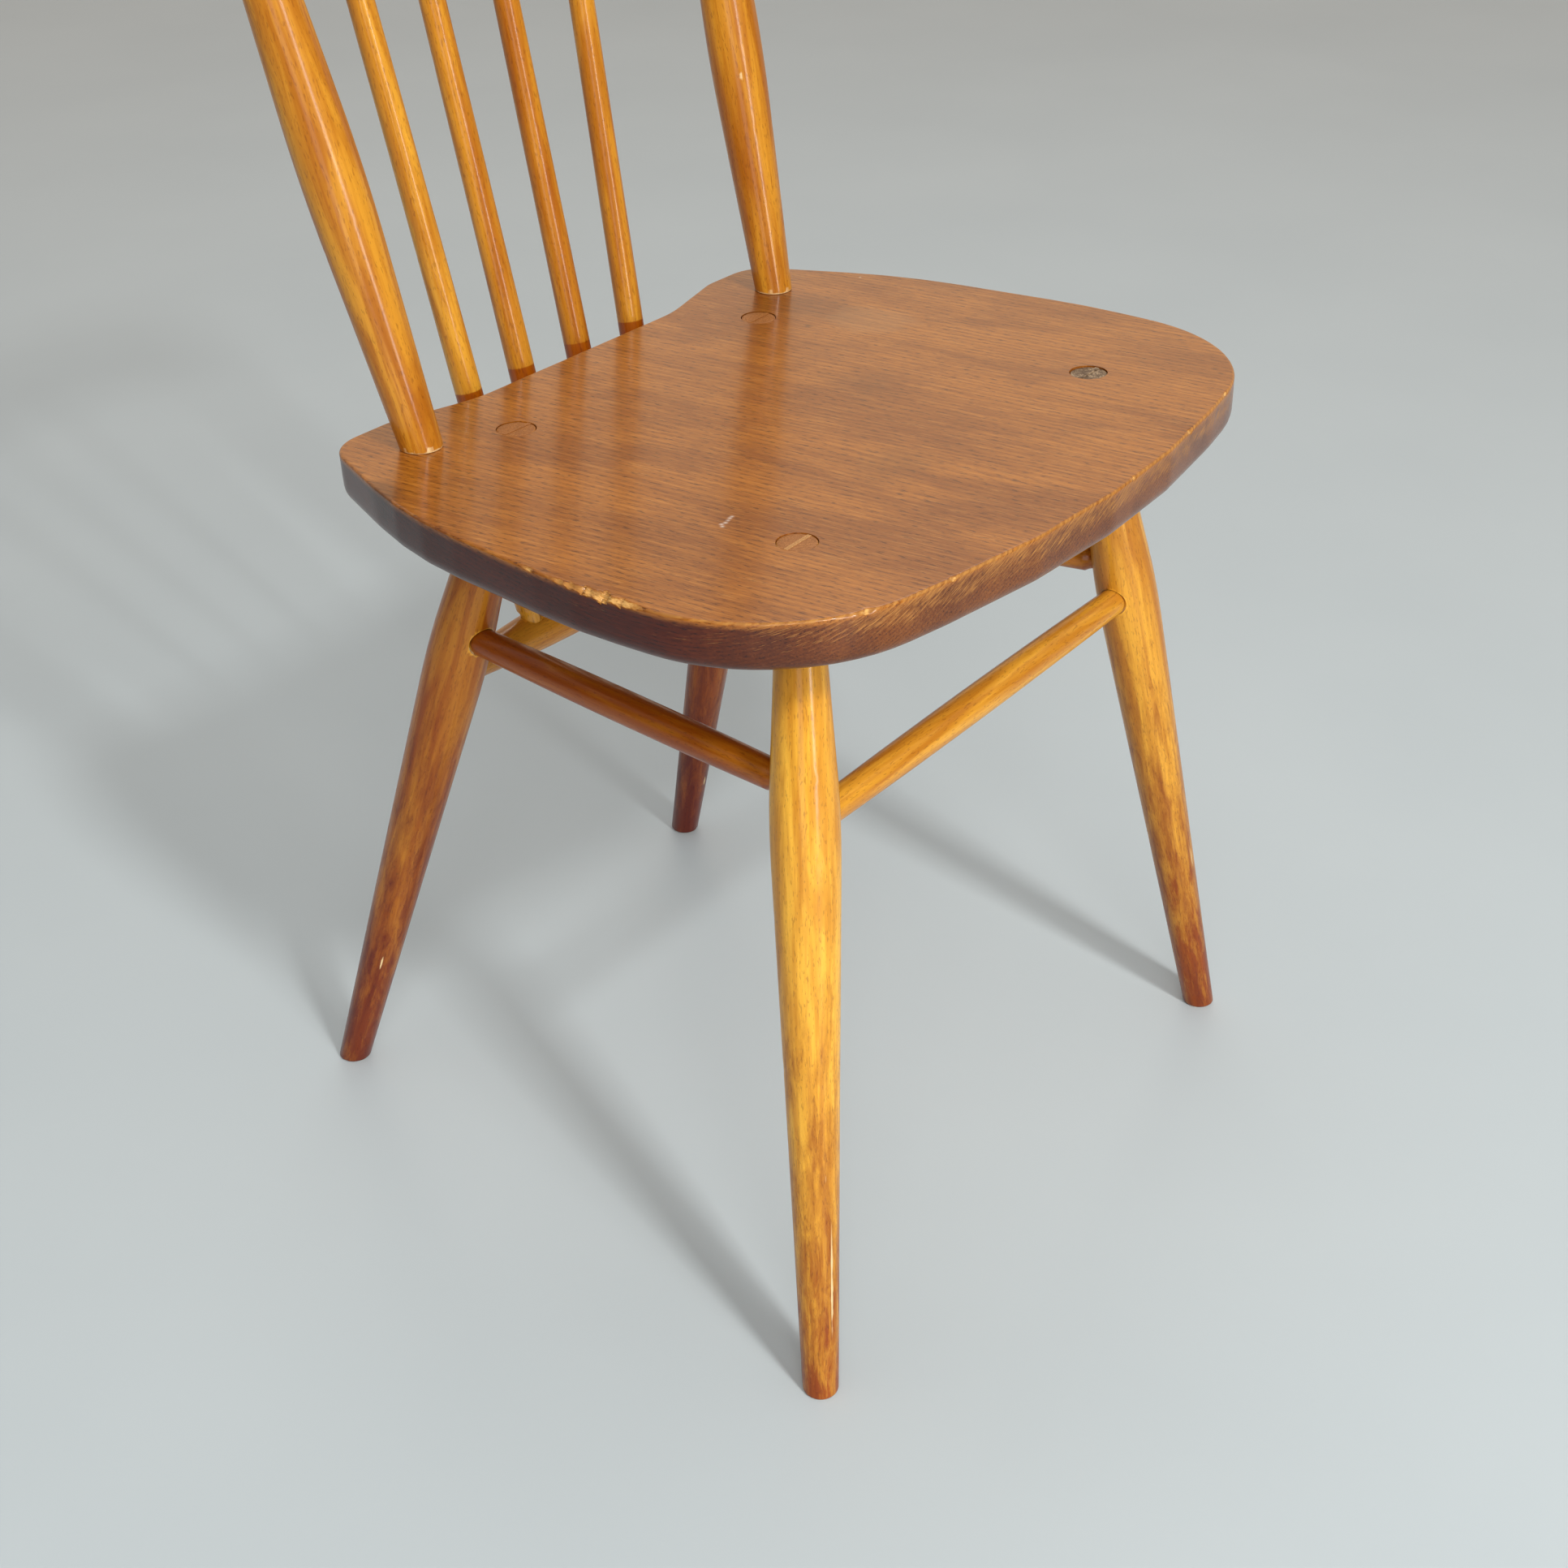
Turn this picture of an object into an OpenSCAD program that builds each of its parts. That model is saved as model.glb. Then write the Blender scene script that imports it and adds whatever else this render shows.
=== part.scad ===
// Stick-back side chair: slab seat, four turned legs, four rails, two posts, four sticks, crest rail.
// Millimetres. The chair faces -Y, +Z is up, and the sitter's left is +X.
// Places on the seat are given as x and as the distance back from the seat's front edge.

/* [Seat] */
// Height of the seat's front edge above the floor
seat_front_height = 432; // [380:1:480]
// Slope of the seat down towards its back, in degrees
seat_slope = 1.4; // [0:0.1:4]
// Thickness of the seat
seat_thickness = 24.5; // [20:0.5:36]
// Widest part of the seat
seat_width = 438; // [380:1:500]
// Width of the seat across its front corners
seat_front_width = 427; // [360:1:480]
// Width of the seat at its back corners
seat_back_width = 338; // [290:1:380]
// Depth of the seat from its front edge to its back corners
seat_depth = 351; // [320:1:420]
// How far the seat's back edge is cut in between the posts, to clear the sticks
scallop_depth = 14; // [8:1:24]
// Half width of the straight part of that cut
scallop_half = 79; // [70:1:90]
// Radius of the seat's front corners
front_corner_radius = 94; // [50:1:100]
// Radius of the seat's back corners
back_corner_radius = 25; // [15:1:30]
// Radius of the seat's bowed front edge
front_bow_radius = 620; // [500:10:1200]
// How far the rounded lower edge of the seat runs in under it
under_round = 7; // [4:1:12]

/* [Legs] */
// Half spacing of the front legs where they pass through the seat
front_leg_x = 126.5; // [110:0.5:150]
// Distance from the seat's front edge to the front legs' tops
front_leg_back = 90; // [70:1:110]
// Half spacing of the front feet
front_foot_x = 202; // [170:1:220]
// Distance from the seat's front edge to the front feet
front_foot_back = 20; // [0:1:60]
// Half spacing of the rear legs where they pass through the seat
rear_leg_x = 99; // [85:0.5:115]
// Distance from the seat's front edge to the rear legs' tops
rear_leg_back = 289; // [270:1:300]
// Half spacing of the rear feet
rear_foot_x = 160; // [130:1:180]
// Distance from the seat's front edge to the rear feet
rear_foot_back = 411; // [380:1:440]
// Radius of a leg at its foot
leg_foot_radius = 9.2; // [7:0.1:12]
// Radius of a leg at its thickest
leg_swell_radius = 17.2; // [14:0.1:20]
// Distance up a leg from its foot to its thickest part
leg_swell_at = 308; // [260:1:330]
// Radius of a leg's neck, just under the seat
leg_neck_radius = 11.6; // [10.5:0.1:13]
// Radius of a leg's tenon, which goes right through the seat
leg_tenon_radius = 9.3; // [8:0.1:10]
// Thickness of a leg's wedge at the seat's top
wedge_thickness = 2.4; // [1.5:0.1:4]
// Depth of the saw cut that the wedge is driven into
wedge_depth = 22; // [15:1:24]

/* [Rails between the legs] */
// Height of the front rail where it meets the legs
front_rail_height = 298; // [270:1:310]
// Height of the side rails at the front legs
side_rail_front_height = 316; // [300:1:340]
// Height of the side rails at the rear legs
side_rail_rear_height = 304; // [290:1:320]
// Height of the rear rail, which carries the sticks
rear_rail_height = 277; // [255:1:285]
// Radius of the front and side rails at the middle
rail_radius = 8.8; // [7:0.1:11]
// Radius of the front and side rails at their shoulders
rail_end_radius = 7.8; // [6.5:0.1:9]
// Radius of the rear rail at the middle
rear_rail_radius = 13; // [11:0.1:16]
// Radius of the rear rail at its shoulders
rear_rail_end_radius = 8.4; // [7:0.1:9]
// Radius of every rail's tenon
rail_tenon_radius = 6; // [4:0.1:6.5]
// Distance from a leg's axis to the shoulder of a rail that is driven home
rail_shoulder = 14.2; // [12:0.1:18]
// The same distance at the rear rail
rear_rail_shoulder = 13.2; // [11:0.1:18]
// The same distance where a side rail has drawn out of its front leg
drawn_shoulder = 18.5; // [15:0.1:20]

/* [Back] */
// Half spacing of the posts where they enter the seat
post_x = 143; // [135:0.5:150]
// Distance from the seat's front edge to the posts
post_back = 312; // [300:1:325]
// Radius of a post where it enters the seat
post_base_radius = 10.7; // [9:0.1:13]
// Radius of a post at its thickest
post_swell_radius = 16; // [12:0.1:19]
// Distance up a post from the seat to its thickest part
post_swell_at = 134; // [100:1:180]
// Radius of a post where it meets the crest rail
post_top_radius = 10; // [8:0.1:12]
// Radius of a post's tenons
post_tenon_radius = 8; // [6:0.1:9]
// Thickness of the wood left under the posts' sockets in the seat
post_socket_floor = 4.5; // [3:0.5:8]
// Half spacing of the two inner sticks in the rear rail and in the crest rail
inner_stick_x = [20.5, 28]; // [15:0.5:30]
// Half spacing of the two outer sticks in the rear rail and in the crest rail
outer_stick_x = [57.5, 85.5]; // [50:0.5:95]
// Radius of a stick at the level of the seat
stick_radius = 7.4; // [6:0.1:9]
// Radius of a stick at the crest rail
stick_top_radius = 6.6; // [5.5:0.1:8]
// Radius of a stick's round ends
stick_tenon_radius = 5.5; // [4:0.1:6]
// How far in front of the rear rail's axis the sticks enter it
stick_set_forward = 3; // [0:0.5:5]

/* [Crest rail] */
// Height of the middle of the crest rail's lower edge
crest_height = 724; // [650:1:800]
// Distance from the seat's front edge to the middle of that edge
crest_back = 425; // [400:1:460]
// Height of the crest rail's face
crest_face = 56; // [40:1:80]
// Thickness of the crest rail
crest_thickness = 20; // [17:1:28]
// Half length of the crest rail
crest_half_length = 192; // [185:1:215]
// Radius of the crest rail's curve, at its middle line
crest_curve = 395; // [350:5:600]
// How far the crest rail leans back, in degrees
crest_lean = 13; // [5:0.5:20]
// Radius of the crest rail's long edges
crest_edge_radius = 7; // [2:0.5:8]
// Radius of the crest rail's rounded ends, seen from the front
crest_end_radius = 20; // [8:1:26]
// Half spacing of the posts in the crest rail
post_top_x = 165.5; // [155:0.5:175]
// Depth of the sockets in the crest rail
crest_socket_depth = 26; // [15:1:32]

/* [Fits] */
// Glue gap all round each tenon
joint_gap = 0.1; // [0.05:0.05:0.2]
// Gap left beyond the end of each tenon
end_gap = 0.4; // [0.2:0.1:1]

/* [Hidden] */
$fn = 64;
FAR = 1000;
HONEY = "#c98a3a";
SEAT_BROWN = "#8a5a34";
PALE = "#d9b98a";
left = 1;
right = -1;

// The slope of the crest rail's top sets how far back the chair reaches.
crest_reach = (crest_thickness / 2 - crest_edge_radius) * cos(crest_lean)
    + (crest_face - crest_edge_radius) * sin(crest_lean) + crest_edge_radius;
front_y = -(crest_back + crest_reach) / 2;

function unit(v) = v / norm(v);
function mix(a, b, t) = a + (b - a) * t;

// ---- Places ----
// A point on the seat's top, a distance back from its front edge
function on_seat(x, back) =
    [x, front_y + back * cos(seat_slope), seat_front_height - back * sin(seat_slope)];
function front_top(side) = on_seat(side * front_leg_x, front_leg_back);
function front_foot(side) = [side * front_foot_x, front_y + front_foot_back, 0];
function rear_top(side) = on_seat(side * rear_leg_x, rear_leg_back);
function rear_foot(side) = [side * rear_foot_x, front_y + rear_foot_back, 0];
// The point on a line from a foot to a leg's top at a given height
function at_height(foot, top, height) = mix(foot, top, height / top.z);
function on_front_leg(side, height) = at_height(front_foot(side), front_top(side), height);
function on_rear_leg(side, height) = at_height(rear_foot(side), rear_top(side), height);

// A point on the crest rail's middle surface, at x and a height up its face
function crest_sag(x) = crest_curve - sqrt(crest_curve * crest_curve - x * x);
function on_crest(x, up) = [x,
    front_y + crest_back - crest_sag(x) * cos(crest_lean) + up * sin(crest_lean),
    crest_height + crest_sag(x) * sin(crest_lean) + up * cos(crest_lean)];
function on_rear_rail(x) =
    [x, on_rear_leg(left, rear_rail_height).y - stick_set_forward, rear_rail_height];

// How deep a post's tenon goes into the seat
post_socket_depth = seat_thickness - post_socket_floor;
// The two ends of each post's and each stick's axis
function post_foot(side) = on_seat(side * post_x, post_back);
function post_head(side) = on_crest(side * post_top_x, crest_socket_depth);
function stick_foot(side, x) = on_rear_rail(side * x[0]);
function stick_head(side, x) = on_crest(side * x[1], crest_socket_depth);

// ---- Shapes ----
// Stands its children on p, with their Z axis pointing at q
module along(p, q) {
    d = q - p;
    translate(p) rotate([0, acos(d.z / norm(d)), atan2(d.y, d.x)]) children();
}

// A round rod whose outline is a list of [distance along the axis, radius]. It is turned a little
// about its axis, so that the place where its surface closes isn't on the line where it is cut.
module turned(outline) {
    ends = [[0, outline[0][0]], [0, outline[len(outline) - 1][0]]];
    rotate([0, 0, 50]) rotate_extrude($fn = 96)
        polygon(concat([ends[0]], [for (p = outline) [p[1], p[0]]], [ends[1]]));
}

// A hole for a round tenon, from p towards q
module socket(p, q, radius, depth) {
    along(p, q) translate([0, 0, -end_gap]) cylinder(r = radius + joint_gap, h = depth + end_gap);
}

// Points on a smooth curve that leaves a towards b and arrives at c from b
function bend(a, b, c, steps = 8) =
    [for (i = [0:steps]) mix(mix(a, b, i / steps), mix(b, c, i / steps), i / steps)];

// The arc that rounds the corner b between a and c, moved inwards by inset
function corner_arc(a, b, c, radius, inset) =
    let (u = unit(a - b), v = unit(c - b), half = acos(u * v) / 2,
        centre = b + unit(u + v) * radius / sin(half),
        first = b + u * radius / tan(half) - centre,
        last = b + v * radius / tan(half) - centre,
        start = atan2(first.y, first.x),
        turn = atan2(cross(first, last), first * last),
        r = turn > 0 ? radius - inset : radius + inset,
        steps = max(2, ceil(abs(turn) / 6)))
    [for (i = [0:steps]) centre + r * [cos(start + turn * i / steps), sin(start + turn * i / steps)]];

// A closed outline from corners [x, y, radius], taken anticlockwise, moved inwards by inset
function outline(corners, inset = 0) =
    let (n = len(corners), xy = [for (c = corners) [c.x, c.y]])
    [for (i = [0:n - 1])
        each corner_arc(xy[(i + n - 1) % n], xy[i], xy[(i + 1) % n], corners[i][2], inset)];

// A closed skin over rings of equally many points, from the lowest ring to the highest
module skin(rings) {
    n = len(rings[0]);
    top = len(rings) - 1;
    polyhedron(
        points = [for (ring = rings) each ring],
        faces = concat([[for (i = [0:n - 1]) i]], [[for (i = [n - 1:-1:0]) top * n + i]],
            [for (k = [0:top - 1], i = [0:n - 1])
                [k * n + i, (k + 1) * n + i, (k + 1) * n + (i + 1) % n, k * n + (i + 1) % n]]));
}

// ---- Seat ----
front_slope = 11;
side_widest_back = 145;
side_turn_back = 262;
side_turn_in = 13;
ear_width = 40;
front_tip = -front_bow_radius * (1 / cos(front_slope) - 1);
front_corner_back = front_tip + seat_front_width / 2 * tan(front_slope);

function half_seat_corners() = [
    [seat_front_width / 2, front_corner_back, front_corner_radius],
    [seat_width / 2, side_widest_back, 300],
    [seat_width / 2 - side_turn_in, side_turn_back, 260],
    [seat_back_width / 2, seat_depth, back_corner_radius],
    [seat_back_width / 2 - ear_width, seat_depth, 25],
    [scallop_half, seat_depth - scallop_depth, 60]];
function seat_corners() = let (h = half_seat_corners(), n = len(h)) concat(
    [[0, front_tip, front_bow_radius]], h,
    [for (i = [n - 1:-1:0]) [-h[i][0], h[i][1], h[i][2]]]);

// The seat's edge from bottom to top, as [distance below the top, inset]
seat_edge = [[seat_thickness, under_round], [seat_thickness - 1, under_round * 0.6],
    [seat_thickness - 4, under_round * 0.25], [seat_thickness - 9, 0.5], [1, 0], [0, 0.8]];

module in_seat_frame() {
    translate([0, front_y, seat_front_height]) rotate([-seat_slope, 0, 0]) children();
}

module seat() {
    color(SEAT_BROWN) difference() {
        in_seat_frame() skin([for (e = seat_edge)
            [for (p = outline(seat_corners(), e[1])) [p.x, p.y, -e[0]]]]);
        for (side = [left, right]) {
            leg_hole(front_foot(side), front_top(side));
            leg_hole(rear_foot(side), rear_top(side));
            post_hole(side);
        }
    }
}

module leg_hole(foot, top) {
    along(top, top * 2 - foot) translate([0, 0, -2 * seat_thickness])
        cylinder(r = leg_tenon_radius + joint_gap, h = 3 * seat_thickness);
}

module post_hole(side) {
    foot = post_foot(side);
    up = unit(post_head(side) - foot);
    socket(foot - up * post_socket_depth, foot, post_tenon_radius, 2 * post_socket_depth);
}

// ---- Legs ----
leg_lower_slope = (leg_swell_radius - leg_foot_radius) / leg_swell_at;
function leg_outline(length) =
    let (neck = length - seat_thickness - 14,
        swell = [leg_swell_at, leg_swell_radius],
        before = [leg_swell_at - 26, leg_swell_radius - 26 * leg_lower_slope],
        after = mix(swell, [neck, leg_neck_radius], 0.22))
    concat([[-10, leg_foot_radius - 10 * leg_lower_slope]], bend(before, swell, after),
        bend([neck - 18, mix(after[1], leg_neck_radius, 0.8)], [neck, leg_neck_radius - 0.2],
            [neck + 8, leg_tenon_radius], 4),
        [[length + 15, leg_tenon_radius]]);

// The part of a leg above the seat's top and the part below the floor are cut away.
module leg(foot, top, recess) {
    color(HONEY) difference() {
        along(foot, top) turned(leg_outline(norm(top - foot)));
        translate([-FAR / 2, -FAR / 2, -FAR]) cube([FAR, FAR, FAR]);
        in_seat_frame() translate([-FAR / 2, -FAR / 2, -recess]) cube([FAR, FAR, FAR]);
        along(top, top * 2 - foot) wedge_block(top - foot);
        children();
    }
}

// The wedge's blade in a leg that points along way: it lies across the chair, so that it can't
// split the seat along its grain, and it is thick at the seat's top.
module wedge_block(way) {
    w = wedge_thickness / 2;
    rotate([90, 0, 90 - atan2(way.y, way.x)]) translate([0, 0, -2 * leg_tenon_radius])
        linear_extrude(4 * leg_tenon_radius)
            polygon([[-w * 0.4, -wedge_depth], [w * 0.4, -wedge_depth], [w * 1.2, 6], [-w * 1.2, 6]]);
}

module wedge(foot, top) {
    color(PALE) intersection() {
        along(top, top * 2 - foot) intersection() {
            wedge_block(top - foot);
            translate([0, 0, -2 * seat_thickness])
                cylinder(r = leg_tenon_radius - 0.1, h = 4 * seat_thickness);
        }
        in_seat_frame() translate([-FAR / 2, -FAR / 2, -FAR]) cube([FAR, FAR, FAR]);
    }
}

module front_leg(side, recess) {
    leg(front_foot(side), front_top(side), recess) {
        rail_socket(on_front_leg(side, front_rail_height), on_front_leg(-side, front_rail_height),
            rail_shoulder, rail_end_radius);
        rail_socket(on_front_leg(side, side_rail_front_height), on_rear_leg(side, side_rail_rear_height),
            drawn_shoulder, rail_end_radius);
    }
}

module rear_leg(side) {
    leg(rear_foot(side), rear_top(side), 0) {
        rail_socket(on_rear_leg(side, side_rail_rear_height), on_front_leg(side, side_rail_front_height),
            rail_shoulder, rail_end_radius);
        rail_socket(on_rear_leg(side, rear_rail_height), on_rear_leg(-side, rear_rail_height),
            rear_rail_shoulder, rear_rail_end_radius);
    }
}

// ---- Rails ----
// A rail's hole in a leg: the tenon's bore, and a shallow seat for its shoulder
module rail_socket(p, q, shoulder, end_radius) {
    socket(p, q, rail_tenon_radius, 2 * leg_swell_radius);
    along(p, q) translate([0, 0, shoulder - end_gap])
        cylinder(r = end_radius + 2 * joint_gap, h = leg_swell_radius);
}

// A rail from leg axis to leg axis, straight near its shoulders and swelling to its middle
module rail(p, q, end_radius, middle_radius, first_shoulder, last_shoulder) {
    length = norm(q - p);
    straight = leg_swell_radius + 3;
    body = bend([straight, end_radius], [length / 2, 2 * middle_radius - end_radius],
        [length - straight, end_radius], 12);
    color(HONEY) along(p, q) turned(concat(
        [[0, rail_tenon_radius], [first_shoulder, rail_tenon_radius], [first_shoulder, end_radius]],
        body,
        [[length - last_shoulder, end_radius], [length - last_shoulder, rail_tenon_radius],
            [length, rail_tenon_radius]]));
}

module rail_front() {
    rail(on_front_leg(right, front_rail_height), on_front_leg(left, front_rail_height),
        rail_end_radius, rail_radius, rail_shoulder, rail_shoulder);
}

module rail_rear() {
    difference() {
        rail(on_rear_leg(right, rear_rail_height), on_rear_leg(left, rear_rail_height),
            rear_rail_end_radius, rear_rail_radius, rear_rail_shoulder, rear_rail_shoulder);
        for (side = [left, right], x = [inner_stick_x, outer_stick_x])
            socket(stick_foot(side, x), stick_head(side, x), stick_tenon_radius, 3 * rear_rail_radius);
    }
}

module side_rail(side) {
    rail(on_rear_leg(side, side_rail_rear_height), on_front_leg(side, side_rail_front_height),
        rail_end_radius, rail_radius, rail_shoulder, drawn_shoulder);
}

// ---- Back ----
// The post's shoulder is cut to sit flat on the sloping seat.
module post(side) {
    foot = post_foot(side);
    head = post_head(side);
    length = norm(head - foot);
    shoulder = length - crest_socket_depth - 4;
    swell = [post_swell_at, post_swell_radius];
    start = [0, post_base_radius];
    finish = [shoulder, post_top_radius];
    body = bend(mix(start, swell, 0.75), swell, mix(swell, finish, 0.18));
    color(HONEY) union() {
        difference() {
            along(foot, head) turned(concat([[-8, post_base_radius - 0.3]], body,
                [finish, [shoulder, post_tenon_radius], [length - end_gap, post_tenon_radius]]));
            in_seat_frame() translate([-FAR / 2, -FAR / 2, -FAR + joint_gap]) cube([FAR, FAR, FAR]);
        }
        along(foot, head) translate([0, 0, end_gap - post_socket_depth])
            cylinder(r = post_tenon_radius, h = post_socket_depth + post_swell_at / 2);
    }
}

module stick(side, x) {
    foot = stick_foot(side, x);
    head = stick_head(side, x);
    length = norm(head - foot);
    low = rear_rail_radius + 2;
    seat_level = seat_front_height - foot.z;
    high = length - crest_socket_depth - 3;
    color(HONEY) along(foot, head) turned([[end_gap, stick_tenon_radius], [low - 1, stick_tenon_radius],
        [low + 1, stick_radius - 0.5], [low + 40, stick_radius], [seat_level, stick_radius],
        [high, stick_top_radius], [high + 1, stick_tenon_radius], [length - end_gap, stick_tenon_radius]]);
}

// ---- Crest rail ----
module in_crest_frame() {
    translate([0, front_y + crest_back, crest_height]) rotate([-crest_lean, 0, 0]) children();
}

function rounded_box(low, high, radius) = outline(
    [[low.x, low.y, radius], [high.x, low.y, radius], [high.x, high.y, radius], [low.x, high.y, radius]]);

module crest_rail() {
    half = crest_thickness / 2;
    color(HONEY) difference() {
        in_crest_frame() intersection() {
            translate([0, -crest_curve, 0]) rotate_extrude($fn = 200)
                polygon(rounded_box([crest_curve - half, 0], [crest_curve + half, crest_face],
                    crest_edge_radius));
            rotate([90, 0, 0]) translate([0, 0, -2 * crest_thickness])
                linear_extrude(crest_curve)
                    polygon(rounded_box([-crest_half_length, 0], [crest_half_length, crest_face],
                        crest_end_radius));
        }
        for (side = [left, right]) {
            socket(post_head(side), post_foot(side), post_tenon_radius, 2 * crest_socket_depth);
            for (x = [inner_stick_x, outer_stick_x])
                socket(stick_head(side, x), stick_foot(side, x), stick_tenon_radius,
                    2 * crest_socket_depth);
        }
    }
}

seat();
front_leg(left, 0.6);  // leg_front_left
front_leg(right, 0);  // leg_front_right
rear_leg(left);  // leg_rear_left
rear_leg(right);  // leg_rear_right
wedge(front_foot(left), front_top(left));  // wedge_front_left
wedge(front_foot(right), front_top(right));  // wedge_front_right
wedge(rear_foot(left), rear_top(left));  // wedge_rear_left
wedge(rear_foot(right), rear_top(right));  // wedge_rear_right
rail_front();
rail_rear();
side_rail(left);  // rail_left
side_rail(right);  // rail_right
post(left);  // post_left
post(right);  // post_right
stick(left, outer_stick_x);  // stick_outer_left
stick(left, inner_stick_x);  // stick_inner_left
stick(right, inner_stick_x);  // stick_inner_right
stick(right, outer_stick_x);  // stick_outer_right
crest_rail();
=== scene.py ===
# %% [markdown]
# # A worn stick-back chair
#
# The real object is a wooden side chair: a broad slab seat, four splayed turned legs tied by
# four round rails, two stout posts, four thin sticks and a curved crest rail. Every round part
# was turned on a lathe, so here every round part is a lathe mesh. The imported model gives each
# part's place and size, and this script gives it its softened edges, its wear and its finish.

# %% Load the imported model
import math
import bmesh
import bpy
import numpy as np
from mathutils import Matrix, Vector, noise


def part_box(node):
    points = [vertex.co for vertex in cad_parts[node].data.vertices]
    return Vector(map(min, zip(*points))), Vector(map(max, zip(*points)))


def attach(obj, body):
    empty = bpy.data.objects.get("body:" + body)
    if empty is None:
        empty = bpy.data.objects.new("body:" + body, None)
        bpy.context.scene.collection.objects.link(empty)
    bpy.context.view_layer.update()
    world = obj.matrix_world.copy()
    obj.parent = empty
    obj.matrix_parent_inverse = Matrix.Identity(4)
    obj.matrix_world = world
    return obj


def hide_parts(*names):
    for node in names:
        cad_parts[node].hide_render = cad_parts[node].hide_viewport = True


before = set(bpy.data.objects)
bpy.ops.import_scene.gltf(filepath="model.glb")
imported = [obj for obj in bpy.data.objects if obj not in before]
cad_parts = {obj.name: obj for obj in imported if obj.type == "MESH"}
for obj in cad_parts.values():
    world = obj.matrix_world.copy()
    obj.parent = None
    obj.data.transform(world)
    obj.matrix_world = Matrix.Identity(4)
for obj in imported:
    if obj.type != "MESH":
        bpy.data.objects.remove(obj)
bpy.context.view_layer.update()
MM = 0.001
scene = bpy.context.scene

# %% [markdown]
# ## The camera
#
# It stands in front of the chair, to the sitter's right, and looks down on the seat with a
# standard lens. The camera's three axes are worked out from its heading, its tilt and its roll.

# %% The camera
EYE = Vector((-0.8249, -0.6643, 0.8550))
HEADING, TILT, ROLL = math.radians(52.28), math.radians(32.23), math.radians(-0.48)

ahead = Vector((math.sin(HEADING) * math.cos(TILT), math.cos(HEADING) * math.cos(TILT),
                -math.sin(TILT)))
level = Vector((math.cos(HEADING), -math.sin(HEADING), 0))
rolled = Matrix.Rotation(-ROLL, 3, ahead)
across, upward = rolled @ level, rolled @ level.cross(ahead)
camera = bpy.data.objects.new("camera", bpy.data.cameras.new("camera"))
camera.data.sensor_width, camera.data.lens = 36, 49.68
camera.data.clip_start = 0.05
camera.matrix_world = Matrix.Translation(EYE) @ Matrix((across, upward, -ahead)).transposed().to_4x4()
scene.collection.objects.link(camera)
scene.camera = camera
print("camera at", tuple(EYE), "looking along", tuple(round(v, 3) for v in ahead))

# %% [markdown]
# ## Reading a round part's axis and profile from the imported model
#
# A lathe part is known by its axis and by its radius at each place along it. Slicing the part's
# triangles with a plane gives a ring of points: the ring's middle lies on the axis, and the
# farthest point gives the radius. The sizes could be typed in again, but read this way they
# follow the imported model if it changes.

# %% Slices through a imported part
PROFILE_STEP = 1.0 * MM


def mesh_arrays(node):
    """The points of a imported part, and the pairs of them that its edges join."""
    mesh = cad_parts[node].data
    points = np.array([v.co for v in mesh.vertices], float)
    return points, np.array([e.vertices[:] for e in mesh.edges], int)


def slice_part(points, edges, on, normal):
    """The points where a plane cuts the part's edges."""
    side = (points - on) @ normal
    first, last = side[edges[:, 0]], side[edges[:, 1]]
    cut = (first < 0) != (last < 0)
    share = (first[cut] / (first[cut] - last[cut]))[:, None]
    return points[edges[cut, 0]] * (1 - share) + points[edges[cut, 1]] * share


def axis_of(node):
    """Two points on the axis of a round part, at its lower and its upper end."""
    points, edges = mesh_arrays(node)
    low, high = points.min(0), points.max(0)
    normal = np.eye(3)[np.argmax(high - low)]
    start, end = low @ normal, high @ normal
    for _ in range(3):
        middles = []
        for share in np.linspace(0.2, 0.8, 13):
            ring = slice_part(points, edges, normal * (start + (end - start) * share), normal)
            middles.append((ring.min(0) + ring.max(0)) / 2)
        middles = np.array(middles)
        centre = middles.mean(0)
        direction = np.linalg.svd(middles - centre)[2][0]
        direction *= np.sign(direction @ normal)
        start, end = (points @ direction).min(), (points @ direction).max()
        normal = direction
    base = centre + direction * (start - centre @ direction)
    return base, centre + direction * (end - centre @ direction)


def profile_of(node, base, tip):
    """The radius of a round part at even steps along its axis."""
    points, edges = mesh_arrays(node)
    length = np.linalg.norm(tip - base)
    direction = (tip - base) / length
    places = np.arange(0.25 * MM, length - 0.2 * MM, PROFILE_STEP)
    radii = []
    for place in places:
        ring = slice_part(points, edges, base + direction * place, direction) - base
        out = ring - np.outer(ring @ direction, direction)
        radii.append(np.linalg.norm(out, axis=1).max() if len(ring) else 0)
    return places, np.array(radii)


AXES = {n: axis_of(n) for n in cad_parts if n.split("_")[0] in ("leg", "post", "stick", "rail")}
for name, (base, tip) in sorted(AXES.items()):
    print(f"{name}: from {np.round(base / MM, 1)} to {np.round(tip / MM, 1)} mm")

# %% [markdown]
# ## The seat's own plane
#
# The seat slopes down a little towards the back, so it is modelled lying flat in its own frame
# and then laid on its place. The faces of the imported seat's flat top give that frame.

# %% The seat's frame
seat_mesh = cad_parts["seat"].data
level_faces = [p for p in seat_mesh.polygons if p.normal.z > 0.9]
seat_up = sum((p.normal * p.area for p in level_faces), Vector()).normalized()
seat_top = max(level_faces, key=lambda p: p.center @ seat_up).center
seat_back_way = seat_up.cross(Vector((1, 0, 0))).normalized()
seat_front = min(v.co @ seat_back_way for v in seat_mesh.vertices)
seat_origin = seat_back_way * seat_front + seat_up * (seat_top @ seat_up)
SEAT = Matrix.Translation(seat_origin) @ Matrix(((1, 0, 0), seat_back_way, seat_up)).transposed().to_4x4()
seat_points = np.array([SEAT.inverted() @ v.co for v in seat_mesh.vertices])
SEAT_THICK = -seat_points[:, 2].min()
slope = math.degrees(math.asin(-seat_back_way.z))
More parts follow.
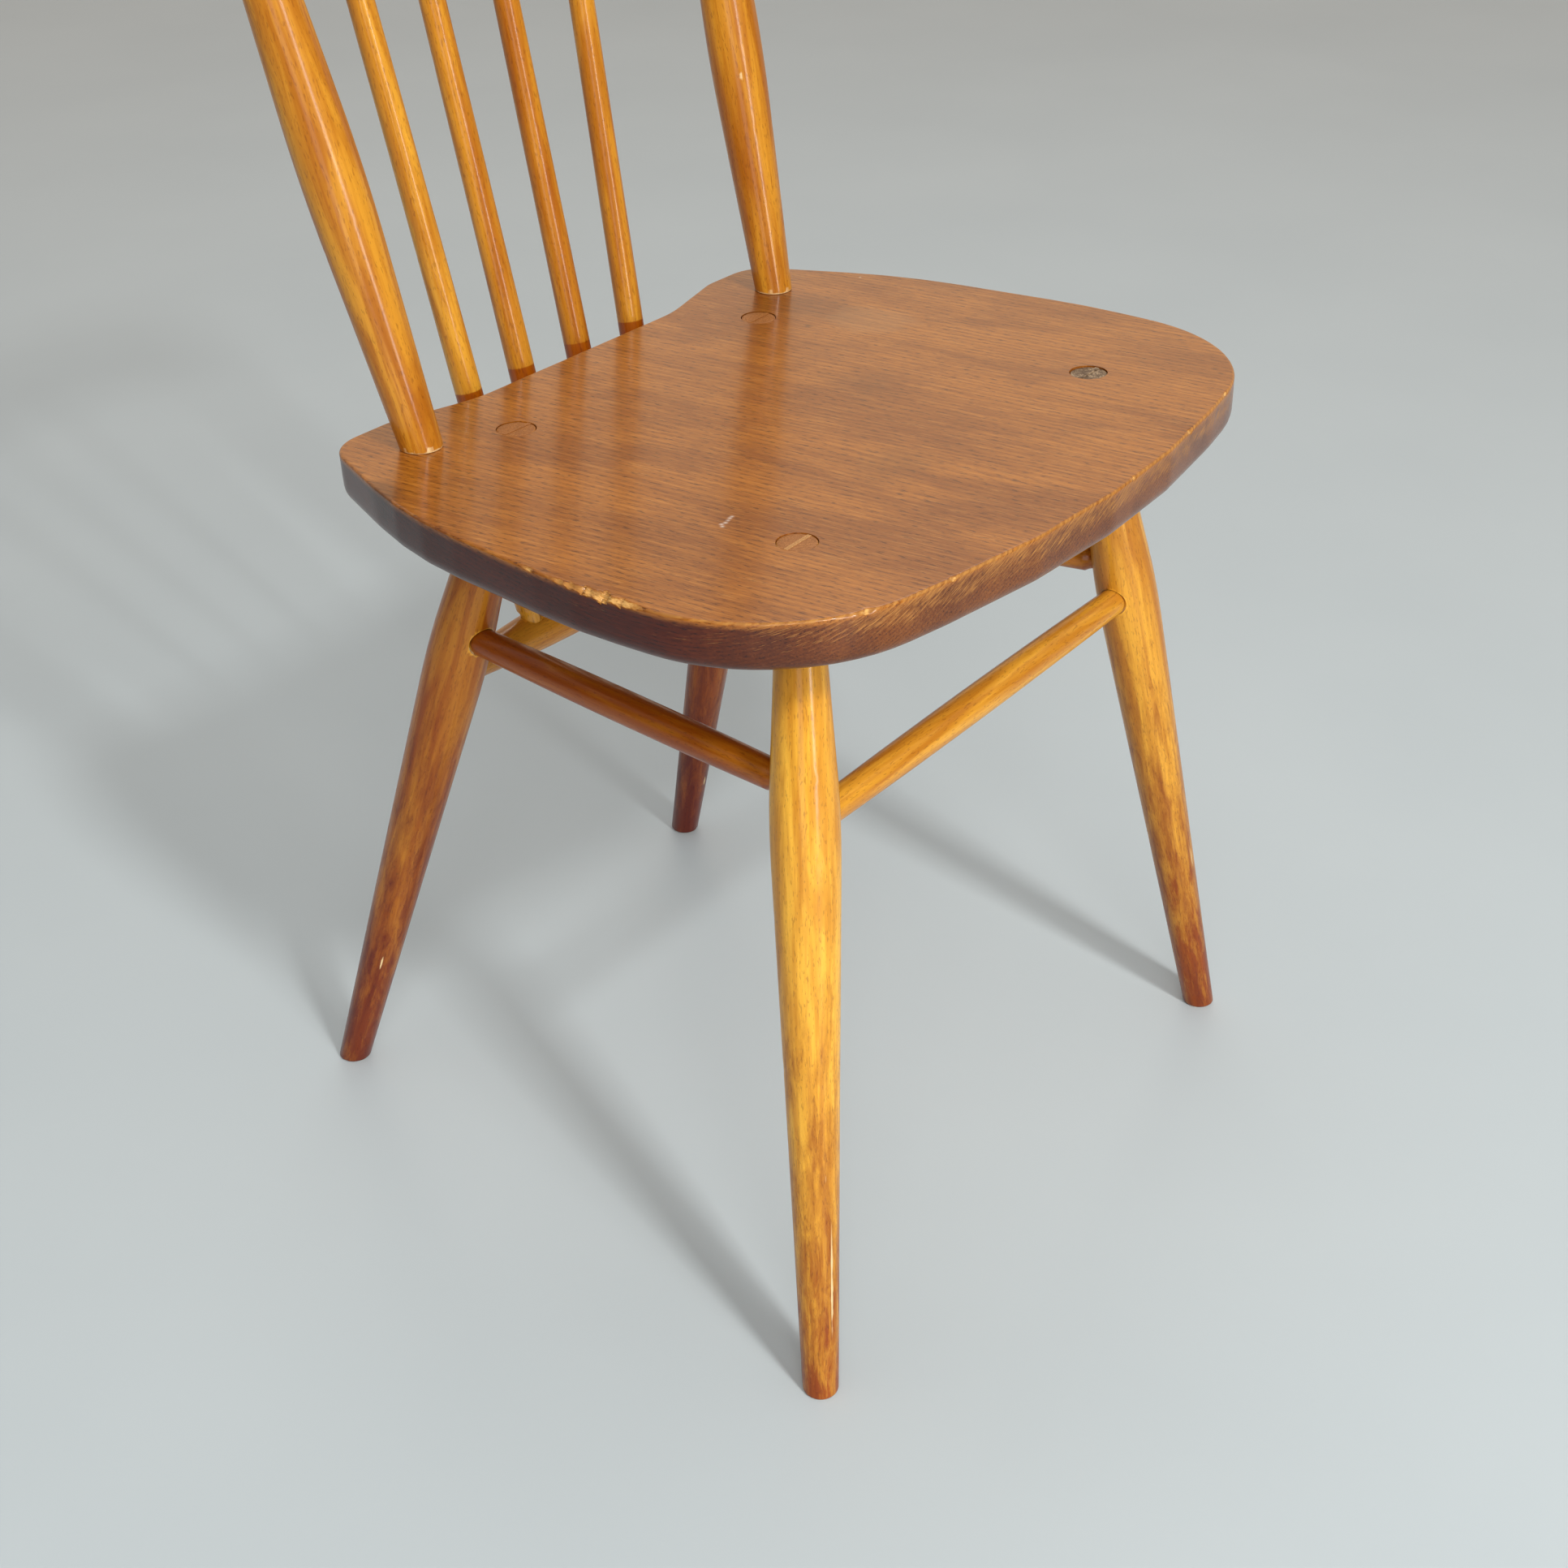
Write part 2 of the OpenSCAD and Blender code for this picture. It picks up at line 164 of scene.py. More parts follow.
print(f"seat {SEAT_THICK / MM:.1f} mm thick, sloping {slope:.2f} degrees")

# %% [markdown]
# ## Small tools
#
# Wear is never even, so it is drawn from smooth noise. The same noise gives the same wear on
# every run, because it depends only on the place it is asked for.

# %% Noise and smooth steps
def smooth(low, high, value):
    """0 below low, 1 above high, and a smooth rise between them."""
    t = np.clip((np.asarray(value, float) - low) / (high - low), 0, 1)
    return t * t * (3 - 2 * t)


def rough(x, y, z):
    """Smooth noise of about -1 to 1 at a point."""
    return noise.noise(Vector((x, y, z)))


def bump_at(value, middle, width):
    """1 at the middle, falling smoothly to 0 at width on either side."""
    return 1 - smooth(0, width, np.abs(np.asarray(value, float) - middle))


# %% [markdown]
# ## Making and drilling a piece
#
# Every piece starts as a list of points and a list of faces. Each point also carries two numbers
# for the materials: how far its finish is worn away, and how darkly it is stained or painted
# with shade. Holes are cut with Boolean modifiers, as a joiner bores them, so that each joint
# has a true socket.

# %% Making a mesh object
SHARP = math.radians(40)


def make_piece(name, points, faces, matrix, worn, stain_and_shade):
    """A smooth-shaded piece whose points carry how worn they are, and how darkly stained or painted with
    shade.
    """
    mesh = bpy.data.meshes.new(name)
    mesh.from_pydata([tuple(p) for p in points], [], faces)
    mesh.validate()
    for title, values in (("worn", worn), ("stain_and_shade", stain_and_shade)):
        values = np.broadcast_to(np.asarray(values, np.float32), len(points)).copy()
        mesh.attributes.new(title, "FLOAT", "POINT").data.foreach_set("value", values)
    mesh.polygons.foreach_set("use_smooth", [True] * len(mesh.polygons))
    mesh.set_sharp_from_angle(angle=SHARP)
    piece = bpy.data.objects.new(name, mesh)
    piece.matrix_world = matrix
    scene.collection.objects.link(piece)
    return piece


def rod(name, base, tip, radius, sides=48):
    """A plain rod used only to drill with, and deleted afterwards."""
    base, tip = Vector(base), Vector(tip)
    ring = [(math.cos(math.tau * k / sides) * radius, math.sin(math.tau * k / sides) * radius)
            for k in range(sides)]
    points = [(x, y, z) for z in (0, (tip - base).length) for x, y in ring]
    faces = [[k, (k + 1) % sides, sides + (k + 1) % sides, sides + k] for k in range(sides)]
    faces += [list(range(sides))[::-1], list(range(sides, 2 * sides))]
    turn = (tip - base).to_track_quat("Z", "Y").to_matrix().to_4x4()
    return make_piece(name, points, faces, Matrix.Translation(base) @ turn, 0, 0)


def drill(piece, holes):
    """Cuts each hole, given as (start, end, radius), right out of the piece."""
    tools = [rod(f"drill_{k}", *hole) for k, hole in enumerate(holes)]
    for tool in tools:
        cut = piece.modifiers.new("hole", "BOOLEAN")
        cut.operation, cut.solver, cut.object = "DIFFERENCE", "EXACT", tool
    bpy.context.view_layer.update()
    graph = bpy.context.evaluated_depsgraph_get()
    bored = bpy.data.meshes.new_from_object(piece.evaluated_get(graph))
    piece.modifiers.clear()
    piece.data = bored
    bored.set_sharp_from_angle(angle=SHARP)
    for tool in tools:
        bpy.data.objects.remove(tool)


# %% [markdown]
# A finished piece keeps its own coordinates in the attribute "grain", which the wood patterns
# follow, and then its place goes into its mesh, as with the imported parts.

# %% Settling a finished piece
def settle(piece, node, slot, *materials):
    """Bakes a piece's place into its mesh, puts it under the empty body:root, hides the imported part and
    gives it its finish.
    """
    mesh = piece.data
    own = np.empty(len(mesh.vertices) * 3, np.float32)
    mesh.vertices.foreach_get("co", own)
    mesh.attributes.new("grain", "FLOAT_VECTOR", "POINT").data.foreach_set("vector", own)
    mesh.transform(piece.matrix_world)
    piece.matrix_world = Matrix()
    for material in materials:
        mesh.materials.append(material)
    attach(piece, "root")
    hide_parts(node)
    print(f"{piece.name}: {len(mesh.polygons)} faces")


# %% [markdown]
# ## A turned part
#
# The lathe mesh is a stack of rings on the part's own axis, with the radius read from the packed
# model. Its two ends are planes: a leg is cut level at the floor and flush with the seat, and a
# post stands square on the seat. A Screw modifier could spin the profile, but its ends would be
# square to the axis, and it has no dents. So each ring is built point by point and tilted from
# one end's plane towards the other's, and both ends come out exactly flat.

# %% The planes of the ends, and closing an end
END_WORN = 0.3


def end_plane(matrix, on, normal):
    """The height at which a plane crosses the part's own frame, as a rule a + b x + c y."""
    inverse = matrix.inverted()
    p, n = inverse @ Vector(on), inverse.to_3x3() @ Vector(normal)
    return (p @ n) / n.z, -n.x / n.z, -n.y / n.z


def tilted(low, high, share, x, y):
    """The height at x, y of a ring that lies a share of the way from the low plane to the high one."""
    at_low = low[0] + low[1] * x + low[2] * y
    at_high = high[0] + high[1] * x + high[2] * y
    return (1 - share) * at_low + share * at_high


def close_end(points, worn, faces, start, sides, flip):
    """Closes the ring that begins at point start with three smaller rings and a middle point."""
    previous = list(range(start, start + sides))
    middle = np.mean([points[v] for v in previous], axis=0)
    for share in (0.75, 0.5, 0.25):
        inner = []
        for v in range(start, start + sides):
            inner.append(len(points))
            points.append(tuple(middle + (np.array(points[v]) - middle) * share))
            worn.append(END_WORN)
        for i in range(sides):
            j = (i + 1) % sides
            quad = [previous[i], previous[j], inner[j], inner[i]]
            faces.append(quad[::-1] if flip else quad)
        previous = inner
    points.append(tuple(middle))
    worn.append(END_WORN)
    for i in range(sides):
        tri = [previous[i], previous[(i + 1) % sides], len(points) - 1]
        faces.append(tri[::-1] if flip else tri)


# %% [markdown]
# The radius of each ring is taken in where an end is rounded, and made a little uneven, as old
# turned wood is. Years of knocks are pressed in as shallow dents, and longer scuffs have taken
# the varnish off.

# %% Turning a part
RING_STEP = 2.0 * MM
# How uneven the wood is, over what length, and how long its dents are.
UNEVEN, UNEVEN_LONG, DENT_LONG = 0.12 * MM, 60 * MM, 9 * MM


def turned(name, node, bottom=None, top=None, soft=(0.8 * MM, 0.8 * MM), sides=72, seed=0, dents=0,
           scuffs=(), stain_and_shade=0.0, base_ring=0.0, step=RING_STEP):
    """A turned part. bottom and top are (point, normal) of a cut, soft the rounding of the two ends,
    dents how deep its dents are, scuffs a list of (place along, angle, half length, half width, depth),
    and the stain, with any painted shade, a number or a function of the place along the part.
    base_ring is the height of a worn ring at the foot, and step the spacing of the mesh's rings."""
    base, tip = AXES[node]
    places, radii = profile_of(node, base, tip)
    length = np.linalg.norm(tip - base)
    turn = Vector(tip - base).to_track_quat("Z", "Y").to_matrix().to_4x4()
    matrix = Matrix.Translation(Vector(base)) @ turn
    low = end_plane(matrix, *bottom) if bottom else (0, 0, 0)
    high = end_plane(matrix, *top) if top else (length, 0, 0)
    ends = [0, 0.25, 0.5, 0.75, 1.0]
    body = high[0] - low[0]
    count = int(body / step)
    heights = sorted({round(h, 6) for h in
                      [soft[0] * e for e in ends] + [body - soft[1] * e for e in ends]
                      + list(np.linspace(soft[0], body - soft[1], count))})
    angles = np.arange(sides) * math.tau / sides
    points, worn = [], []
    for h in heights:
        share = h / body
        # Inside the rounding of an end, near rises from 0 at the end to 1 where the rounding stops.
        near = min(h / soft[0], (body - h) / soft[1], 1)
        edge = soft[0] if h < body / 2 else soft[1]
        for angle in angles:
            c, s = math.cos(angle), math.sin(angle)
            full = np.interp(low[0] + h, places, radii)
            z = tilted(low, high, share, full * c, full * s)
            radius = np.interp(z, places, radii)
            radius -= edge * (1 - math.sqrt(max(0, 1 - (1 - near) ** 2)))
            radius -= UNEVEN * (0.5 + 0.5 * rough(c * 1.3 + seed, s * 1.3, z / UNEVEN_LONG))
            if dents:
                press = rough(c * 2.2 + seed * 3.1, s * 2.2, z / DENT_LONG + seed)
                radius -= dents * smooth(0.45, 0.7, press)
            rub = 0.0
            for place, at, half_long, half_wide, depth in scuffs:
                gap = abs((angle - at + math.pi) % math.tau - math.pi) * radius
                ragged = 1 + 0.7 * rough(z / (7 * MM), at * 5, seed)
                mark = float(bump_at(z, place, half_long)) * float(bump_at(gap, 0, half_wide * ragged))
                rub = max(rub, mark)
                radius -= depth * mark
            x, y = radius * c, radius * s
            points.append((x, y, tilted(low, high, share, x, y)))
            ring_worn = 0.5 if h < base_ring * (1 + 0.3 * rough(c * 2, s * 2, seed)) else 0.0
            worn.append(max(rub, ring_worn) + 0.6 * (1 - near))
    faces = []
    for k in range(len(heights) - 1):
        for i in range(sides):
            j = (i + 1) % sides
            faces.append([k * sides + i, k * sides + j, (k + 1) * sides + j, (k + 1) * sides + i])
    close_end(points, worn, faces, 0, sides, True)
    close_end(points, worn, faces, (len(heights) - 1) * sides, sides, False)
    stains = [stain_and_shade(p[2]) for p in points] if callable(stain_and_shade) else stain_and_shade
    return make_piece(name, points, faces, matrix, np.clip(worn, 0, 1), stains)


# %% [markdown]
# ## Colours and the node helper
#
# Colours are written as the hex values that a paint or stain chart gives, and one function turns
# them into the linear numbers that the renderer works in. One helper adds a node: an output
# socket given to it becomes a link, and anything else a fixed value.

# %% Colours and nodes
def colour(text):
    """A hex colour as linear red, green, blue and alpha."""
    parts = [int(text[k:k + 2], 16) / 255 for k in (1, 3, 5)]
    return [*(p / 12.92 if p <= 0.04045 else ((p + 0.055) / 1.055) ** 2.4 for p in parts), 1.0]


def add(tree, kind, inputs=None, out=0, **settings):
    """Adds a node with its settings, links or sets its inputs, and returns its output named out."""
    made = tree.nodes.new(kind)
    for name, value in settings.items():
        setattr(made, name, value)
    for name, value in (inputs or {}).items():
        if isinstance(value, bpy.types.NodeSocket):
            tree.links.new(value, made.inputs[name])
        else:
            made.inputs[name].default_value = value
    return made.outputs[out] if len(made.outputs) else None


def start_material(name):
    """An empty node material, and its tree."""
    material = bpy.data.materials.new(name)
    material.use_nodes = True
    material.node_tree.nodes.clear()
    return material, material.node_tree


print("linear middle grey:", round(colour("#808080")[0], 4))

# %% [markdown]
# ## Varnished beech, turned
#
# Beech is a close, even wood. Turned and varnished it shows a honey colour that shifts slowly
# along the part, fine darker lines along the grain, and the short brown flecks of its rays. They
# are about 3 mm long and 0.3 mm wide, and drawn 3.8 by 0.8 mm here so that they show. Old varnish
# has yellowed, and one attribute darkens and reddens each part: partly real stain, partly painted
# shade on the parts under the seat, and a band of painted seat shadow on the sticks.
# Dirt has gone into the varnish towards the feet. A clear coat over a rougher body gives a
# sharp streak of light inside a broad soft one. Pictures of wood could be wrapped round each
# part, but noise that fills space has no seam, and one recipe serves every turned part.
#
# In a colour Mix node the inputs 0, 6 and 7 are the share and the two colours, and output 2 is
# the result. In a Map Range node the inputs 0 to 4 are the value and the ends of the two ranges.

# %% Varnished beech, turned
FLECK_LONG, FLECK_WIDE = 3.8 * MM, 0.8 * MM
GRAIN_LONG, GRAIN_WIDE = 70 * MM, 1.8 * MM
FLAME_LONG, FLAME_WIDE = 110 * MM, 9 * MM
SMEAR_LONG, SMEAR_WIDE = 30 * MM, 5.5 * MM
DIRT_FROM, DIRT_FULL = 0.275, 0.0
FLECK_TONE = "#8a4f1a"
COAT_ROUGH = 0.15


def varnished_beech_turned(name, light, deep, stain_shade_tone, dirt_tone, bare_wood):
    """Honey varnished beech whose grain runs along the part's own Z axis."""
    material, tree = start_material(name)
    place = add(tree, "ShaderNodeAttribute", out="Vector", attribute_name="grain")
    own = add(tree, "ShaderNodeObjectInfo", out="Random")
    shift = add(tree, "ShaderNodeVectorMath", {0: place, 1: own}, operation="ADD")

    def streaks(wide, long, detail, twist=0.0, roughness=0.55):
        """Noise drawn out along the grain, with cells of a given width and length."""
        scaled = add(tree, "ShaderNodeMapping", {"Vector": shift, "Scale": (1 / wide, 1 / wide, 1 / long)})
        return add(tree, "ShaderNodeTexNoise", {"Vector": scaled, "Scale": 1.0, "Detail": detail,
                   "Distortion": twist, "Roughness": roughness})

    grain = streaks(GRAIN_WIDE, GRAIN_LONG, 5.0, 0.3, 0.62)
    flame = streaks(FLAME_WIDE, FLAME_LONG, 4.0, 0.8)
    fleck = streaks(FLECK_WIDE, FLECK_LONG, 1.0)
    smear = streaks(SMEAR_WIDE, SMEAR_LONG, 6.0, 0.5, 0.7)
    # The wood's colour: slow flames, then lines of grain, then the flecks. Each layer is a pattern,
    # the range over which it comes in, how strong it gets and its colour.
    tone = colour(light)
    for layer, start, full, strength, over in ((flame, 0.42, 0.62, 0.55, deep),
                                               (grain, 0.46, 0.72, 0.5, deep),
                                               (fleck, 0.60, 0.68, 0.38, FLECK_TONE)):
        share = add(tree, "ShaderNodeMapRange", {0: layer, 1: start, 2: full, 3: 0.0, 4: strength})
        tone = add(tree, "ShaderNodeMix", {0: share, 6: tone, 7: colour(over)}, 2, data_type="RGBA")
    # The stain, and the painted shade carried with it, multiplies the wood's colour, a little unevenly.
    stain_and_shade = add(tree, "ShaderNodeAttribute", out="Fac", attribute_name="stain_and_shade")
    uneven = add(tree, "ShaderNodeMapRange", {0: flame, 1: 0.35, 2: 0.65, 3: -0.12, 4: 0.12})
    share = add(tree, "ShaderNodeMath", {0: uneven, 1: stain_and_shade}, operation="ADD", use_clamp=True)
    tone = add(tree, "ShaderNodeMix", {0: share, 6: tone, 7: colour(stain_shade_tone)}, 2, data_type="RGBA",
               blend_type="MULTIPLY")
    # Dirt starts below the knee of the leg and thickens towards the floor, in long smears.
    position = add(tree, "ShaderNodeNewGeometry", out="Position")
    height = add(tree, "ShaderNodeSeparateXYZ", {0: position}, "Z")
    sinking = add(tree, "ShaderNodeMapRange", {0: height, 1: DIRT_FROM, 2: DIRT_FULL, 3: -0.42, 4: 0.78})
    # A leg with little stain and painted shade has kept sounder varnish, and less dirt sticks to it.
    kept_clean = add(tree, "ShaderNodeMapRange", {0: stain_and_shade, 1: 0.10, 2: 0.36, 3: -0.22, 4: 0.0})
    settled = add(tree, "ShaderNodeMath", {0: sinking, 1: kept_clean}, operation="ADD")
    smeared = add(tree, "ShaderNodeMapRange", {0: smear, 1: 0.38, 2: 0.66, 3: 0.0, 4: 0.75})
    dirt = add(tree, "ShaderNodeMath", {0: settled, 1: smeared}, operation="ADD", use_clamp=True)
    low_down = add(tree, "ShaderNodeMath", {0: height, 1: DIRT_FROM}, operation="LESS_THAN")
    share = add(tree, "ShaderNodeMath", {0: dirt, 1: low_down}, operation="MULTIPLY")
    tone = add(tree, "ShaderNodeMix", {0: share, 6: tone, 7: colour(dirt_tone)}, 2, data_type="RGBA",
               blend_type="MULTIPLY")
    # Where the varnish is rubbed off, the bare wood is paler and duller.
    worn = add(tree, "ShaderNodeAttribute", out="Fac", attribute_name="worn")
    patchy = add(tree, "ShaderNodeMapRange", {0: smear, 1: 0.3, 2: 0.7, 3: 0.55, 4: 1.25})
    rubbed = add(tree, "ShaderNodeMath", {0: worn, 1: patchy}, operation="MULTIPLY")
    bare = add(tree, "ShaderNodeMapRange", {0: rubbed, 1: 0.35, 2: 0.6, 3: 0.0, 4: 1.0})
    tone = add(tree, "ShaderNodeMix", {0: bare, 6: tone, 7: colour(bare_wood)}, 2, data_type="RGBA")
    sound = add(tree, "ShaderNodeMapRange", {0: flame, 1: 0.3, 2: 0.7, 3: 0.34, 4: 0.46})
    dulled = add(tree, "ShaderNodeMix", {0: bare, 2: sound, 3: 0.65})
    sunk = add(tree, "ShaderNodeMapRange", {0: fleck, 1: 0.58, 2: 0.68, 3: 0.0, 4: 0.8})
    relief = add(tree, "ShaderNodeMath", {0: grain, 1: sunk}, operation="SUBTRACT")
    bump = add(tree, "ShaderNodeBump", {"Height": relief, "Strength": 0.3, "Distance": 0.10 * MM})
    shader = add(tree, "ShaderNodeBsdfPrincipled", {"Base Color": tone, "Roughness": dulled,
                 "Normal": bump, "IOR": 1.5, "Specular IOR Level": 0.15, "Coat Weight": 0.5,
                 "Coat Roughness": COAT_ROUGH, "Coat IOR": 1.5})
    add(tree, "ShaderNodeOutputMaterial", {0: shader})
    return material


beech = varnished_beech_turned("varnished_beech_turned", "#f5b63c", "#c67a14", "#ad771c", "#a66f1e",
                               "#ecca92")
print("material:", beech.name)

# %% [markdown]
# ## Stained elm, sawn and planed
#
# The seat is one slab of an open-grained wood. Its growth rings are layers in the wood, so the
# pattern is made in depth: seen from above it gives long lines running from front to back, on
# the front edge it gives slanting end-grain lines, and on the side edges long streaks. Rows of
# open pores, about 5 mm long and 0.4 mm wide, show as dark dashes, and are drawn 0.6 mm wide here
# so that they show. The rings lie about 1.6 mm apart, drawn 2 mm apart. The edges are darker
# than the top: partly the stain they soaked up, and partly painted shade on the seat's sides.
# Drinks and damp have left rings and dull patches on the top.

# %% Stained elm, planed
RING_SPACING = 2.0 * MM
RING_TILT = math.radians(28)
GRAIN_TURN = math.radians(5)
PORE_LONG, PORE_WIDE = 5.0 * MM, 0.6 * MM
FINE_PALE, RUBBED_TONE = "#c98a44", "#b67c38"
# One band of Blender's wave texture is this long at a scale of 1.
WAVE_TURN = math.tau / 20
# The scratches on the front edge follow the rings: 0.6 mm apart, and up to 7 mm long.
HATCH = (1 / (0.6 * MM), 1 / (14 * MM), 1 / (7 * MM))
# Marks on the top: (across, back from the front edge, radius, strength, colour), in metres.
MARKS = [(-0.027, 0.103, 0.022, 0.30, "#5a3216"), (0.055, 0.176, 0.026, 0.28, "#5c3318"),
         (0.118, 0.289, 0.034, 0.35, "#5e371c"), (0.103, 0.257, 0.0035, 0.8, "#4a2811"),
         (0.130, 0.230, 0.020, 0.25, "#b98a5a"), (-0.199, 0.290, 0.014, 0.5, "#4a2a14"),
         (0.188, 0.282, 0.0016, 0.9, "#e8dcc6")]
# A curled pale scratch on the top is a row of small marks: these are the places it goes through.
SCRATCH = [(-0.1328, 0.1282), (-0.1312, 0.1300), (-0.1288, 0.1296), (-0.1262, 0.1302),
           (-0.1238, 0.1309), (-0.1218, 0.1313)]
MARKS += [(across, back, 2.6 * MM, 1.0, "#f6eee0") for across, back in SCRATCH]


def stained_elm_planed(name, light, deep, pore, edge_stain_and_shade, bare_wood):
    """Brown stained elm. X crosses the growth rings, and Y runs along the grain."""
    material, tree = start_material(name)
    place = add(tree, "ShaderNodeAttribute", out="Vector", attribute_name="grain")
    swung = add(tree, "ShaderNodeVectorRotate", {"Vector": place, "Angle": -GRAIN_TURN},
                rotation_type="Z_AXIS")
    timber = add(tree, "ShaderNodeVectorRotate", {"Vector": swung, "Angle": RING_TILT - math.pi / 2},
                 rotation_type="Y_AXIS")

    def pattern(vector, across, along, detail, roughness=0.55, twist=0.0, out=0):
        """Noise with cells of a given size across and along the grain."""
        scaled = add(tree, "ShaderNodeMapping", {"Vector": vector,
                     "Scale": (1 / across, 1 / along, 1 / across)})
        return add(tree, "ShaderNodeTexNoise", {"Vector": scaled, "Scale": 1.0, "Detail": detail,
                   "Roughness": roughness, "Distortion": twist}, out)

    # The layers wander slowly along the grain.
    wander = pattern(timber, 33 * MM, 250 * MM, 2.0, out="Color")
    pushed = add(tree, "ShaderNodeVectorMath", {0: wander, 1: (7 * MM, 0, 7 * MM)}, operation="MULTIPLY")
    layered = add(tree, "ShaderNodeVectorMath", {0: timber, 1: pushed}, operation="ADD")
    rings = add(tree, "ShaderNodeTexWave", {"Vector": layered, "Scale": WAVE_TURN / RING_SPACING,
                "Distortion": 0.0}, "Fac", wave_type="BANDS", bands_direction="X", wave_profile="SIN")
    pores = pattern(layered, PORE_WIDE, PORE_LONG, 1.0)
    fine = pattern(layered, 1.1 * MM, 22 * MM, 4.0, 0.65)
    figure = pattern(timber, 30 * MM, 120 * MM, 5.0, 0.6, 0.6)
    cloud = pattern(place, 55 * MM, 70 * MM, 5.0, 0.6)
    # Broad figure and clouds, then the rings, then the fine lines, paler and darker.
    tone = colour(light)
    for layer, start, full, strength, over, ease in (
            (figure, 0.40, 0.64, 0.55, deep, "SMOOTHSTEP"), (cloud, 0.45, 0.68, 0.35, deep, "SMOOTHSTEP"),
            (rings, 0.30, 1.0, 0.34, deep, "LINEAR"), (fine, 0.46, 0.30, 0.45, FINE_PALE, "LINEAR"),
            (fine, 0.48, 0.70, 0.6, deep, "LINEAR")):
        share = add(tree, "ShaderNodeMapRange", {0: layer, 1: start, 2: full, 3: 0.0, 4: strength},
                    interpolation_type=ease)
        tone = add(tree, "ShaderNodeMix", {0: share, 6: tone, 7: colour(over)}, 2, data_type="RGBA")
    # Pores are open in the soft part of each ring.
    open_pore = add(tree, "ShaderNodeMapRange", {0: pores, 1: 0.54, 2: 0.64, 3: 0.0, 4: 1.0})
    in_ring = add(tree, "ShaderNodeMapRange", {0: rings, 1: 0.1, 2: 0.9, 3: 0.2, 4: 0.75})
    pore_share = add(tree, "ShaderNodeMath", {0: open_pore, 1: in_ring}, operation="MULTIPLY")
    tone = add(tree, "ShaderNodeMix", {0: pore_share, 6: tone, 7: colour(pore)}, 2, data_type="RGBA")
    # Each mark is a patch with a ragged edge, strongest at its middle.
    for across, back, radius, strength, mark_tone in MARKS:
        gap = add(tree, "ShaderNodeVectorMath", {0: place, 1: (across, back, 0)}, "Value",
                  operation="DISTANCE")
        stray = add(tree, "ShaderNodeMapRange", {0: cloud, 1: 0.3, 2: 0.7, 3: -0.9 * radius,
                    4: 0.9 * radius})
        ragged = add(tree, "ShaderNodeMath", {0: gap, 1: stray}, operation="ADD")
        share = add(tree, "ShaderNodeMapRange", {0: ragged, 1: 1.2 * radius, 2: 0.0, 3: 0.0,
                    4: strength}, interpolation_type="SMOOTHSTEP")
        tone = add(tree, "ShaderNodeMix", {0: share, 6: tone, 7: colour(mark_tone)}, 2, data_type="RGBA")
    # The edges' darker tone multiplies the colour: partly stain that the edges soaked up, partly painted
    # shade on the seat's sides.
    stain_and_shade = add(tree, "ShaderNodeAttribute", out="Fac", attribute_name="stain_and_shade")
    tone = add(tree, "ShaderNodeMix", {0: stain_and_shade, 6: tone, 7: colour(edge_stain_and_shade)}, 2, data_type="RGBA",
               blend_type="MULTIPLY")
    # Where the edge has been rubbed or splintered, the stain is gone.
    worn = add(tree, "ShaderNodeAttribute", out="Fac", attribute_name="worn")
    speckle = pattern(place, 1.5 * MM, 4.0 * MM, 5.0, 0.75)
    hatch_at = add(tree, "ShaderNodeMapping", {"Vector": timber, "Scale": HATCH})
    hatch = add(tree, "ShaderNodeTexNoise", {"Vector": hatch_at, "Scale": 1.0, "Detail": 3.0,
                "Roughness": 0.7})
    hatched = add(tree, "ShaderNodeMath", {0: worn, 1: hatch}, operation="ADD")
    rubbed = add(tree, "ShaderNodeMapRange", {0: hatched, 1: 0.82, 2: 1.10, 3: 0.0, 4: 1.0})
    tone = add(tree, "ShaderNodeMix", {0: rubbed, 6: tone, 7: colour(RUBBED_TONE)}, 2, data_type="RGBA")
    speckled = add(tree, "ShaderNodeMath", {0: worn, 1: speckle}, operation="ADD")
    split = add(tree, "ShaderNodeMapRange", {0: speckled, 1: 1.36, 2: 1.5, 3: 0.0, 4: 1.0})
    tone = add(tree, "ShaderNodeMix", {0: split, 6: tone, 7: colour(bare_wood)}, 2, data_type="RGBA")
    in_ring = add(tree, "ShaderNodeMapRange", {0: rings, 1: 0.45, 2: 0.85, 3: 0.0, 4: 0.35})
    share = add(tree, "ShaderNodeMath", {0: rubbed, 1: in_ring}, operation="MULTIPLY")
    tone = add(tree, "ShaderNodeMix", {0: share, 6: tone, 7: colour(deep)}, 2, data_type="RGBA")
    gloss = add(tree, "ShaderNodeMapRange", {0: figure, 1: 0.3, 2: 0.7, 3: 0.30, 4: 0.40})
    dulled = add(tree, "ShaderNodeMix", {0: rubbed, 2: gloss, 3: 0.62})
    relief = add(tree, "ShaderNodeMath", {0: fine, 1: pore_share}, operation="SUBTRACT")
    bump = add(tree, "ShaderNodeBump", {"Height": relief, "Strength": 0.4, "Distance": 0.10 * MM})
    shader = add(tree, "ShaderNodeBsdfPrincipled", {"Base Color": tone, "Roughness": dulled,
                 "Normal": bump, "IOR": 1.5, "Specular IOR Level": 0.15, "Coat Weight": 0.56,
                 "Coat Roughness": 0.16, "Coat IOR": 1.5})
    add(tree, "ShaderNodeOutputMaterial", {0: shader})
    return material


elm = stained_elm_planed("stained_elm_planed", "#b06a20", "#763c12", "#4a1f02", "#754018", "#dca65c")
print("material:", elm.name)

# %% [markdown]
# ## Stained end grain
#
# The tops of the tenons are end grain, cut flush and stained with the seat. They show thin curved
# rings and the ends of the pores as fine dots, about 0.3 mm across and drawn 0.7 mm here so that
# they show. Stain soaks into end grain in patches, and it stays nearly matt. The same recipe in
# other colours gives the greyed tenon, whose finish has gone, and the pale split wedge.

# %% Stained end grain, cut
END_PORE = 0.7 * MM
END_PATCH = 5.0 * MM
END_RING = 2.2 * MM


